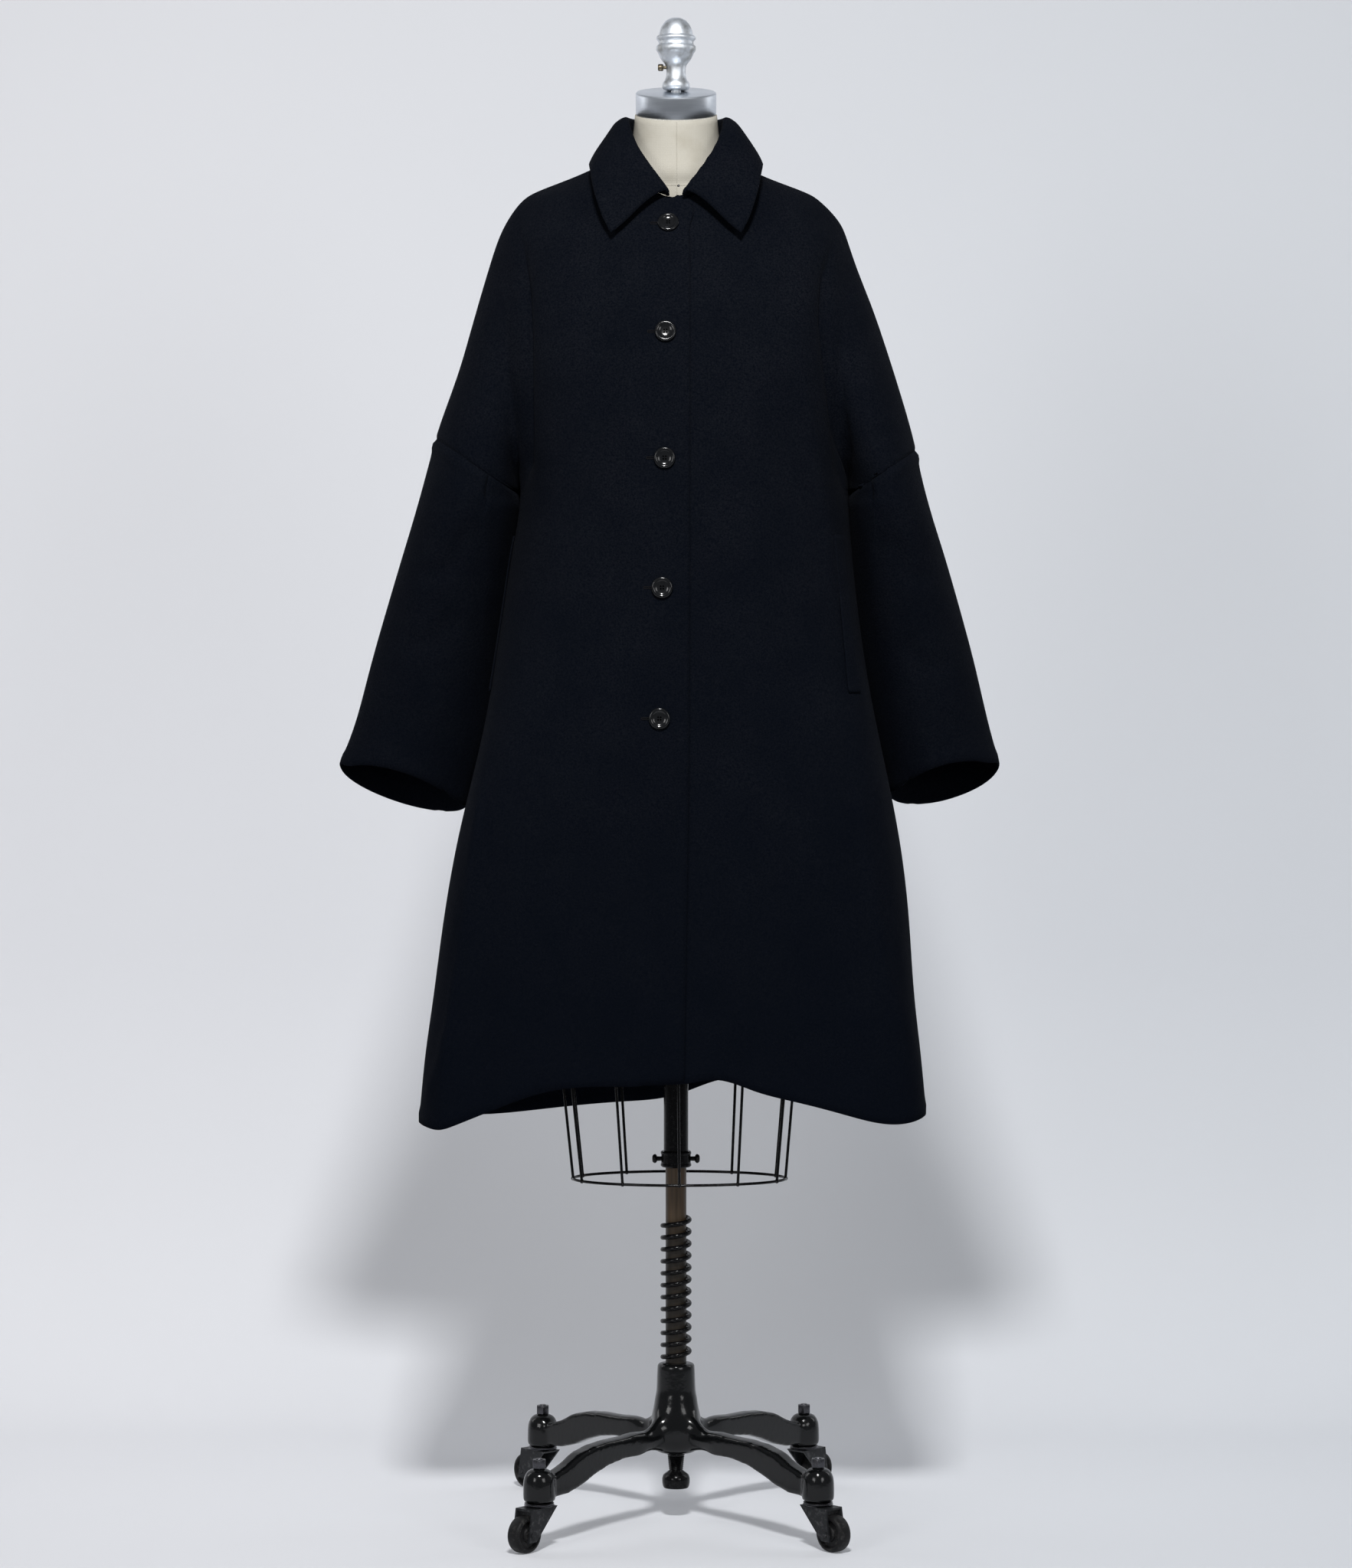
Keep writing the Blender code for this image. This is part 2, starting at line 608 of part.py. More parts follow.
cloth = Cloth()
fronts = {LEFT: half_panel(LEFT, FRONT, FRONT_COLUMNS), RIGHT: half_panel(RIGHT, FRONT, FRONT_COLUMNS)}
backs = {LEFT: half_panel(LEFT, BACK, BACK_COLUMNS), RIGHT: half_panel(RIGHT, BACK, BACK_COLUMNS)}
sleeves = {LEFT: sleeve_grid(LEFT), RIGHT: sleeve_grid(RIGHT)}


def add_sleeve(side):
    """A sleeve's outer and inner pieces, which meet at a seam on its front and one on its back."""
    grid = sleeves[side]
    last = grid.shape[1] - 1
    wearer = SIDE_OF[side]
    cloth.add(f"sleeve_top_{wearer}", [grid[:, SLEEVE_SEAM : last - SLEEVE_SEAM + 1]], side == LEFT)
    under = np.concatenate([grid[:, last - SLEEVE_SEAM : last], grid[:, : SLEEVE_SEAM + 1]], axis=1)
    cloth.add(f"sleeve_under_{wearer}", [under], side == LEFT)


def add_coat():
    cloth.add("front_right", fronts[LEFT], True)
    cloth.add("front_left", fronts[RIGHT], False)
    joined_back = Cloth()
    for side in (LEFT, RIGHT):
        joined_back.add(f"half_{side}", backs[side], side == RIGHT)
    points = {}
    faces = []
    for half_points, half_faces in joined_back.pieces.values():
        points.update(half_points)
        faces += half_faces
    cloth.pieces["back"] = (points, faces)
    for key, normal in joined_back.normals.items():
        cloth.normals[key] = cloth.normals.get(key, np.zeros(3)) + normal
    for side in (LEFT, RIGHT):
        add_sleeve(side)
        underarm = tuple(np.round(arm_point(side, FRONT, UNDERARM_Z, math.pi), 6))
        cloth.normals[underarm] = np.array([0.0, 0.0, -1.0])
        cloth.own_normals[f"sleeve_under_{SIDE_OF[side]}", underarm] = np.array([-side, 0.0, 0.0])
    for name in list(cloth.pieces):
        cloth.build(name, WOOL)


def add_collar():
    collar = Cloth()
    collar.add("collar", [collar_grid()], False)
    collar.build("collar", WOOL)


def add_welt(side):
    """A strip on the front along its pocket mouth, made from the panel's points and moved out."""
    rows = []
    for t in np.linspace(0, 1, 7):
        x = WELT_TOP[0] + (WELT_LOW[0] - WELT_TOP[0]) * t
        z = WELT_TOP[1] + (WELT_LOW[1] - WELT_TOP[1]) * t
        start = angle_at(side, FRONT, z, x)
        turn = 2 / (body_shape(side, FRONT, z)[1] + x)
        steps = (WELT_AROUND[side] + WELT_WIDTH * share for share in (0.0, 0.5, 1.0))
        rows.append([body_point(side, FRONT, z, start + turn * step) for step in steps])
    strip = Cloth()
    name = f"pocket_welt_{SIDE_OF[side]}"
    strip.add(name, [np.array(rows)], side == LEFT)
    strip.build(name, WOOL, WELT_THICKNESS, WELT_THICKNESS + WELT_LIFT)


def add_buttons():
    """Dished buttons with a raised rim."""
    rim = BUTTON_RADIUS
    high = BUTTON_HEIGHT
    profile = (
        (0.0, 0.62 * high), (0.66 * rim, 0.62 * high), (0.78 * rim, high), (0.93 * rim, high),
        (rim, 0.60 * high), (0.85 * rim, 0.0), (0.0, 0.0)
    )
    for n, button in enumerate(BUTTONS, 1):
        z = button["z"]
        angle = angle_at(LEFT, FRONT, z, -button["x"])
        low, high_point = (Vector(body_point(LEFT, FRONT, z + step, angle)) for step in (-0.012, 0.012))
        lean = math.atan2(high_point.y - low.y, high_point.z - low.z)
        point = Vector(body_point(LEFT, FRONT, z, angle)) + Vector((0.0, -FIT, 0.0))
        turn = Matrix.Rotation(math.pi / 2 - lean, 4, "X")
        turned(f"button_{n}", profile, 14, HORN, Matrix.Translation(point) @ turn)


# Dress form: a hollow shell with a neck, open at its lower edge.
FORM = table(
    "z half front back",
    (1.610, 0.0610, 0.053, 0.059),
    (1.595, 0.0925, 0.0505, 0.0760),
    (1.575, 0.1600, 0.0620, 0.0890),
    (1.555, 0.1830, 0.0720, 0.0990),
    (1.520, 0.1820, 0.088, 0.098),
    (1.450, 0.1780, 0.113, 0.108),
    (1.360, 0.1660, 0.126, 0.106),
    (1.280, 0.1450, 0.112, 0.092),
    (1.200, 0.1260, 0.096, 0.082),
    (1.100, 0.1520, 0.105, 0.105),
    (1.000, 0.1740, 0.110, 0.120),
    (0.900, 0.1740, 0.108, 0.116),
    (0.800, 0.1680, 0.104, 0.108),
)
FORM_SQUARE = 2.15
FORM_SIDES = 18
FORM_WALL = 0.006
FORM_LOW_Z = 0.800
NECK_TILT = math.radians(14.0)
CAP_RADIUS = 0.0482
CAP_HEIGHT = 0.0275
CAP_TOP = Vector((0.0, 0.0, 1.7089))
NECK_RINGS = (  # share of the way up from the neck's base to the cap, half-width, half-depth
    (0.26, 0.0567, 0.0530),
    (0.60, 0.0520, 0.0505),
    (1.00, 0.0492, 0.0490),
)
NECK_BASE = Vector((0.0, 0.003, 1.610))


def cap_axis():
    return Matrix.Rotation(NECK_TILT, 3, "X") @ Vector((0.0, 0.0, 1.0))


def form_rings(inset):
    """The form's rings from the top of the neck to its lower edge, drawn in by an inset."""
    rings = []
    top = CAP_TOP - cap_axis() * (CAP_HEIGHT + FIT + inset)
    for share, half, depth in reversed(NECK_RINGS):
        centre = NECK_BASE.lerp(top, share)
        lean = Matrix.Rotation(NECK_TILT * share, 3, "X")
        ring = []
        for j in range(FORM_SIDES):
            angle = 2 * math.pi * j / FORM_SIDES
            spoke = Vector(((half - inset) * math.sin(angle), -(depth - inset) * math.cos(angle), 0.0))
            ring.append(centre + lean @ spoke)
        rings.append(ring)
    for z in reversed(FORM["z"]):
        ring = []
        for j in range(FORM_SIDES):
            across, along = superellipse(2 * math.pi * j / FORM_SIDES, FORM_SQUARE)
            depth = read(FORM, "front" if along > 0 else "back", z) - inset
            ring.append(Vector(((read(FORM, "half", z) - inset) * across, -depth * along, z)))
        rings.append(ring)
    return rings


# Finial: radius and height above the cap
FINIAL_PROFILE = (
    (0.0, 0.0886), (0.0084, 0.0870), (0.0150, 0.0822), (0.0190, 0.0750), (0.0203, 0.0683), (0.0234, 0.0655),
    (0.0235, 0.0625), (0.0209, 0.0597), (0.0209, 0.0570), (0.0234, 0.0535), (0.0234, 0.0490), (0.0212, 0.0462),
    (0.0184, 0.0401), (0.0135, 0.0335), (0.0117, 0.0290), (0.0115, 0.0200), (0.0140, 0.0125), (0.0162, 0.0092),
    (0.0162, 0.0052), (0.0140, 0.0024), (0.0060, 0.0024), (0.0060, -0.0060), (0.0, -0.0060)
)
FINIAL_NECK = 0.0126
FINIAL_SCREW_Z = 0.0292
TUBE_RADIUS = 0.0148
TUBE_BORE = 0.0131
CLAMP_LOW_Z = 0.4200
CLAMP_HIGH_Z = 0.4390
CLAMP_RADIUS = 0.0185
POLE_RADIUS = 0.0125
POLE_TOP_Z = 0.960
CAGE_Z = 0.4056
CAGE_CENTRE_X = 0.004
CAGE_HALF = 0.128
CAGE_DEPTH = 0.0705
CAGE_WIRE = 0.0018
CAGE_WIRE_TURNS = (0, 33, 66, 90, 114, 150, 180, 210, 246, 270, 294, 328)  # degrees around the ring
CAGE_SIDES = 24
FORM_LEVEL = 0.007  # the form and the coat are set this much higher on the pole than their tables say


def add_form():
    outer = form_rings(0.0)
    inner = form_rings(FORM_WALL)
    loft("form_torso", outer + inner[::-1], CANVAS)
    lean = Matrix.Translation(CAP_TOP) @ Matrix.Rotation(NECK_TILT, 4, "X")
    bevel = 0.0015
    cap = (
        (0.0, 0.0), (CAP_RADIUS - bevel, 0.0), (CAP_RADIUS, -bevel), (CAP_RADIUS, bevel - CAP_HEIGHT),
        (CAP_RADIUS - bevel, -CAP_HEIGHT), (0.0, -CAP_HEIGHT)
    )
    turned("neck_cap", cap, 24, CAP_METAL, lean)
    finial = turned("finial", FINIAL_PROFILE, 16, CAST_METAL, Matrix.Translation(CAP_TOP))
    mesh = bmesh.new()
    bmesh.ops.create_cube(mesh, size=0.08)
    foot = add_mesh("finial_foot_cutter", mesh, None, cutters)
    foot.matrix_world = lean @ Matrix.Translation((0.0, 0.0, FIT - 0.04))
    boolean(finial, foot, "DIFFERENCE")
    head = ((0.0, 0.0085), (0.0042, 0.0085), (0.0042, 0.0022), (0.0020, 0.0018), (0.0020, 0.0), (0.0, 0.0))
    at = Matrix.Translation(CAP_TOP + Vector((-FINIAL_NECK - 2 * FIT, 0.0, FINIAL_SCREW_Z)))
    turned("finial_screw", head, 10, BRASS, at @ Matrix.Rotation(-math.pi / 2, 4, "Y"))


def add_tube():
    """The form's tube, which stands on the clamp collar and reaches up inside the neck."""
    reach = CAP_TOP - cap_axis() * (CAP_HEIGHT + 2 * FIT + FORM_WALL)
    top = reach.z - (TUBE_RADIUS + reach.y) * math.tan(NECK_TILT) - FIT
    low = CLAMP_HIGH_Z + FIT
    profile = ((TUBE_BORE, top), (TUBE_RADIUS, top), (TUBE_RADIUS, low), (TUBE_BORE, low))
    turned("form_tube", profile, 16, BLACK_STEEL)


def add_cage():
    """An oval ring below the form, hung from the form's edge on straight wires."""
    ring = []
    for j in range(CAGE_SIDES):
        angle = 2 * math.pi * j / CAGE_SIDES
        ring.append((CAGE_CENTRE_X + CAGE_HALF * math.sin(angle), -CAGE_DEPTH * math.cos(angle), CAGE_Z))
    tube("cage_ring", ring, CAGE_WIRE, BLACK_STEEL, 1, True)
    half = float(read(FORM, "half", FORM_LOW_Z)) - FORM_WALL / 2
    front, back = (float(read(FORM, name, FORM_LOW_Z)) - FORM_WALL / 2 for name in ("front", "back"))
    for n, turn in enumerate(CAGE_WIRE_TURNS, 1):
        angle = math.radians(turn)
        across, along = superellipse(angle, FORM_SQUARE)
        top = (half * across, -(front if along > 0 else back) * along, FORM_LOW_Z - FIT)
        low_z = CAGE_Z + CAGE_WIRE + FIT
        low = (CAGE_CENTRE_X + CAGE_HALF * math.sin(angle), -CAGE_DEPTH * math.cos(angle), low_z)
        tube(f"cage_wire_{n:02d}", (low, top), CAGE_WIRE, BLACK_STEEL, 1)


def add_clamp():
    """A collar with two thumb screws, which holds the tube at its height on the pole."""
    bore = POLE_RADIUS + 2 * FIT
    profile = (
        (bore, CLAMP_HIGH_Z), (CLAMP_RADIUS, CLAMP_HIGH_Z), (CLAMP_RADIUS, CLAMP_LOW_Z), (bore, CLAMP_LOW_Z)
    )
    turned("clamp_collar", profile, 20, BLACK_STEEL)
    screw = (
        (0.0, 0.0100), (0.0048, 0.0100), (0.0055, 0.0085), (0.0055, 0.0055), (0.0026, 0.0045), (0.0026, 0.0), (0.0, 0.0)
    )
    middle = (CLAMP_LOW_Z + CLAMP_HIGH_Z) / 2
    for name, side in (("right", LEFT), ("left", RIGHT)):
        at = Matrix.Translation((side * (CLAMP_RADIUS + FIT), 0.0, middle))
        turned(f"clamp_screw_{name}", screw, 10, BLACK_STEEL, at @ Matrix.Rotation(side * math.pi / 2, 4, "Y"))


def set_level():
    """Hangs what was made so far from an empty, which sets its height on the pole."""
    made = list(parts.objects) + list(cutters.objects)
    level = add_object("form_level", None, None)
    level.location.z = FORM_LEVEL
    for obj in made:
        obj.parent = level


# Stand
HUB_TOP_Z = 0.1895
HUB_LOW_Z = 0.0787
SPRING_TOP_Z = 0.370
SPRING_RADIUS = 0.0163
SPRING_WIRE = 0.0029
SPRING_TURNS = 12
SPRING_POINTS = 9  # to a turn
CASTER_X = 0.163
CASTER_Y = 0.183
BOSS_RADIUS = 0.0195
BOSS_LOW_Z = 0.0565
BOSS_HIGH_Z = 0.0955
NUT_HIGH_Z = 0.1073
RACE_LOW_Z = 0.0515
WHEEL_RADIUS = 0.0222
WHEEL_SIDES = 16
WHEEL_WIDTH = 0.0180
WHEEL_BORE = 0.0036
WHEEL_TRAIL = 0.0255
AXLE_RADIUS = 0.0030
AXLE_Z = WHEEL_RADIUS * math.cos(math.pi / WHEEL_SIDES)
LEG_WIDTH = 0.0200
BASE_TURN = math.radians(1.0)  # the base stands a little turned under the form

# Leg seen from its side: under and upper edge along its run from the pole
LEG = table(
    "run low high",
    (0.000, 0.0845, 0.1500),
    (0.030, 0.0850, 0.1295),
    (0.050, 0.0862, 0.1165),
    (0.100, 0.0880, 0.1130),
    (0.132, 0.0835, 0.1125),
    (0.156, 0.0762, 0.1105),
    (0.180, 0.0665, 0.1050),
    (0.203, 0.0605, 0.0940),
    (0.236, 0.0590, 0.0830),
)
HUB_PROFILE = (
    (0.0, HUB_TOP_Z), (0.0215, HUB_TOP_Z), (0.0228, HUB_TOP_Z - 0.0020), (0.0240, 0.1550), (0.0275, 0.1380),
    (0.0330, 0.1200), (0.0330, 0.0900), (0.0260, HUB_LOW_Z), (0.0, HUB_LOW_Z)
)
STEM_PROFILE = (
    (0.0, HUB_LOW_Z - FIT), (0.0110, HUB_LOW_Z - FIT), (0.0102, 0.0680), (0.0078, 0.0575), (0.0140, 0.0550),
    (0.0166, 0.0500), (0.0166, 0.0430), (0.0150, 0.0380), (0.0, 0.0380)
)
BOSS_PROFILE = (
    (0.0, BOSS_HIGH_Z), (0.0090, BOSS_HIGH_Z), (0.0150, 0.0920), (0.0186, 0.0845), (BOSS_RADIUS, 0.0755),
    (BOSS_RADIUS, BOSS_LOW_Z), (0.0, BOSS_LOW_Z)
)
CASTERS = ((LEFT, FRONT), (RIGHT, FRONT), (RIGHT, BACK), (LEFT, BACK))


def caster_matrix(side, face):
    """A caster's frame: its X axis runs out along the leg and its Z axis is the swivel."""
    turn = math.atan2(face * CASTER_Y, side * CASTER_X)
    placed = Matrix.Translation((side * CASTER_X, face * CASTER_Y, 0.0)) @ Matrix.Rotation(turn, 4, "Z")
    return Matrix.Rotation(BASE_TURN, 4, "Z") @ placed


def add_base():
    casting = turned("base_casting", HUB_PROFILE, 20, ENAMEL)
    reach = math.hypot(CASTER_X, CASTER_Y)
    for n, (side, face) in enumerate(CASTERS, 1):
        frame = caster_matrix(side, face)
        rings = []
        half = LEG_WIDTH / 2
        for run, low, high in zip(LEG["run"], LEG["low"], LEG["high"]):
            corners = ((half, low), (half, high), (-half, high), (-half, low))
            rings.append([Vector((run - reach, across, height)) for across, height in corners])
        leg = loft(f"leg_{n}", rings, None, cutters)
        leg.matrix_world = frame
        cap = turned(f"boss_{n}", BOSS_PROFILE, 14, None, frame, cutters)
        boolean(casting, leg, "UNION")
        boolean(casting, cap, "UNION")
        nut = (
            (0.0, NUT_HIGH_Z), (0.0070, NUT_HIGH_Z), (0.0082, NUT_HIGH_Z - 0.0012), (0.0082, BOSS_HIGH_Z + FIT),
            (0.0, BOSS_HIGH_Z + FIT)
        )
        turned(f"caster_nut_{n}", nut, 6, NUT_METAL, frame)


def add_pole():
    pole = ((0.0, POLE_TOP_Z), (POLE_RADIUS, POLE_TOP_Z), (POLE_RADIUS, HUB_TOP_Z + FIT), (0.0, HUB_TOP_Z + FIT))
    turned("pole", pole, 16, WOOD)
    low = HUB_TOP_Z + SPRING_WIRE + FIT
    points = []
    for step in range(SPRING_TURNS * SPRING_POINTS + 1):
        angle = math.pi + 2 * math.pi * step / SPRING_POINTS
        height = low + (SPRING_TOP_Z - SPRING_WIRE - low) * step / (SPRING_TURNS * SPRING_POINTS)
        points.append((SPRING_RADIUS * math.sin(angle), -SPRING_RADIUS * math.cos(angle), height))
    tube("spring", points, SPRING_WIRE, BLACK_STEEL, 0)
    turned("foot_stem", STEM_PROFILE, 14, BLACK_STEEL)


# Fork seen along its leg: cheeks and top plate; each end slopes from the swivel to the axle
FORK_TOP_Z = RACE_LOW_Z - FIT
FORK_LOW_Z = 0.0135
FORK_HALF = 0.0135
FORK_SHEET = 0.0025
FORK_TOP_RUN = (-0.0170, 0.0260)
FORK_LOW_RUN = (0.0190, 0.0320)


def fork_ring(end):
    """The fork's section at its inner or outer end."""
    inner = FORK_HALF - FORK_SHEET
    under = FORK_TOP_Z - FORK_SHEET
    outline = (
        (FORK_HALF, FORK_LOW_Z), (FORK_HALF, FORK_TOP_Z), (-FORK_HALF, FORK_TOP_Z), (-FORK_HALF, FORK_LOW_Z),
        (-inner, FORK_LOW_Z), (-inner, under), (inner, under), (inner, FORK_LOW_Z)
    )
    ring = []
    for across, height in outline:
        share = (FORK_TOP_Z - height) / (FORK_TOP_Z - FORK_LOW_Z)
        run = FORK_TOP_RUN[end] + (FORK_LOW_RUN[end] - FORK_TOP_RUN[end]) * share
        ring.append(Vector((run, across, height)))
    return ring


def add_casters():
    half = WHEEL_WIDTH / 2
    edge = 0.0030
    flat = WHEEL_RADIUS - 0.0020
    wheel = (
        (WHEEL_BORE, half), (flat, half), (WHEEL_RADIUS, half - edge), (WHEEL_RADIUS, edge - half), (flat, -half),
        (WHEEL_BORE, -half)
    )
    race = (
        (0.0, BOSS_LOW_Z - FIT), (0.0165, BOSS_LOW_Z - FIT), (0.0180, 0.0540), (0.0165, RACE_LOW_Z), (0.0, RACE_LOW_Z)
    )
    for n, (side, face) in enumerate(CASTERS, 1):
        frame = caster_matrix(side, face)
        turned(f"caster_race_{n}", race, 16, NUT_METAL, frame)
        fork = loft(f"caster_fork_{n}", [fork_ring(0), fork_ring(1)], BLACK_STEEL)
        fork.matrix_world = frame
        hub = frame @ Matrix.Translation((WHEEL_TRAIL, 0.0, AXLE_Z)) @ Matrix.Rotation(math.pi / 2, 4, "X")
        pin_half = FORK_HALF + 0.0015
        pin = ((0.0, pin_half), (AXLE_RADIUS, pin_half), (AXLE_RADIUS, -pin_half), (0.0, -pin_half))
        axle = turned(f"axle_{n}", pin, 10, None, hub, cutters)
        boolean(fork, axle, "UNION")
        flat_down = Matrix.Rotation(math.pi / WHEEL_SIDES, 4, "Z")
        turned(f"caster_wheel_{n}", wheel, WHEEL_SIDES, RUBBER, hub @ flat_down)


add_coat()
add_collar()
for welt_side in (LEFT, RIGHT):
    add_welt(welt_side)
add_buttons()
add_form()
add_tube()
add_cage()
add_clamp()
set_level()
add_base()
add_pole()
add_casters()
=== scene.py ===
"""Looks of a wool coat on its dress form and wheeled stand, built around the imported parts, in metres.

The coat's front faces -Y, and the wearer's right is at -X. Run as a script, it makes every piece and
the stage.
"""

import json
import math

import bmesh
import bpy
import numpy as np
from mathutils import Matrix, Vector, kdtree, noise
from mathutils.bvhtree import BVHTree


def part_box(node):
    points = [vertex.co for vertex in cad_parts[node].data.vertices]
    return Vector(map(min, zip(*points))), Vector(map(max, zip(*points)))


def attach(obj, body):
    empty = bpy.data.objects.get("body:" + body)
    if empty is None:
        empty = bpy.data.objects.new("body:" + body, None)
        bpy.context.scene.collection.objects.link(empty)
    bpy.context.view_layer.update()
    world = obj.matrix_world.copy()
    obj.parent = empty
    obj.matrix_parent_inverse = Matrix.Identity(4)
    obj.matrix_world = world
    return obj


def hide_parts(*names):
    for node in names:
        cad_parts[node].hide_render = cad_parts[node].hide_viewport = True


bl_info = {
    "name": "Wool coat on a dress form",
    "version": (1, 0, 0),
    "blender": (4, 5, 0),
    "location": "3D View > Sidebar > Coat",
    "description": "Makes the cloth, trim, form and stand of a wool coat around its packed parts",
    "category": "Object",
}

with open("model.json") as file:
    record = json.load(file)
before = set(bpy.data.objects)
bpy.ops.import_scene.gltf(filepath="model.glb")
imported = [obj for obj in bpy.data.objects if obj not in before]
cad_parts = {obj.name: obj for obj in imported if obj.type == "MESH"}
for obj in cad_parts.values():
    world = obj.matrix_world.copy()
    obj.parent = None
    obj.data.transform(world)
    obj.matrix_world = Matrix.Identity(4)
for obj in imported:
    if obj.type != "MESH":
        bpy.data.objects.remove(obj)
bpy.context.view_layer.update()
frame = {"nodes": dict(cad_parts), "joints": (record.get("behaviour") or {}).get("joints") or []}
NODES = frame["nodes"]
JOINTS = {joint["name"]: joint for joint in frame["joints"]}

# Edges
MERGE = 0.00002
SHARP_ANGLE = math.radians(38)
CLOTH_SHARP = math.radians(80)

# From a packed wall to a smooth sheet
CLOTH_LEVELS = 3
FITTING_ROUNDS = 4  # passes that bring a smooth sheet back through its part's corners
RIM_SHARE = 1.04  # an edge shorter than this share of the wall crosses a panel's rim
FLUSH = math.cos(math.radians(35.0))  # a small face this level with a panel belongs to it, not to its rim
CONCAVE = math.radians(-16)  # sharper inward folds keep some of their edge
INNER_CREASE = 0.45  # how much of it they keep
RIM_ROUND = 0.85  # how far a free rim swells, as a share of half its wall
SEAM_REACH = 0.0050  # edges of two sheets that are nearer than this are sewn together

# Cloth
WANDER_SIZE = 0.085  # spacing of the cloth's slow unevenness
WANDER_FADE = 0.020  # it dies out over this distance from an edge or a seam
SWELL_INSET = 0.0090  # where a turned edge is thickest
SWELL_SPREAD = 0.0065
LOW_SEAM_SHARE = 0.4  # depth of the seams below the underarm, as a share of the others
UNDERARM_Z = 1.2345
ARM_HUG = 0.0030  # how far a sleeve swells towards the body under the arm
CUFF_DROP = 0.012  # how much lower a cuff hangs in front
CUFF_LEVELS = (1.10, 0.92)  # where that starts and where it is full
SEAM_STEP = 0.0020  # how far a sleeve stands out below its dropped seam
COLLAR_WALL = 0.0046
COLLAR_SOFTENING = 80  # passes that round the collar
COLLAR_CORNERS = ((0.0770, 1.5285), (0.0080, 1.5830))  # x and z of the tip and of the front end
CORNER_GIVE = 0.30  # how much of the rounding a corner takes
CORNER_REACH = 0.025
WELT_WALL = 0.0024
CASTER_COUNT = 4

# Each panel of the coat: its cut's width and length, and its flat area
PANELS = {
    "front_right": dict(width=0.62, length=1.16, area=0.41),
    "front_left": dict(width=0.62, length=1.16, area=0.43),
    "back": dict(width=1.02, length=1.18, area=0.74),
    "sleeve_top_right": dict(width=0.32, length=0.45, area=0.12),
    "sleeve_under_right": dict(width=0.14, length=0.42, area=0.05),
    "sleeve_top_left": dict(width=0.31, length=0.43, area=0.11),
    "sleeve_under_left": dict(width=0.14, length=0.42, area=0.05),
}

FRONT_WAY = Vector((0.0, -1.0, 0.0))
BACK_WAY = Vector((0.0, 1.0, 0.0))

# Folds where the fronts turn into the arms
ARMHOLE_RIGHT = ((-0.190, 1.565), (-0.182, 1.521), (-0.1775, 1.415), (-0.178, 1.300), (-0.183, 1.222))
ARMHOLE_LEFT = (
    (0.190, 1.555), (0.178, 1.490), (0.178, 1.432), (0.184, 1.381), (0.196, 1.300), (0.207, 1.205)
)

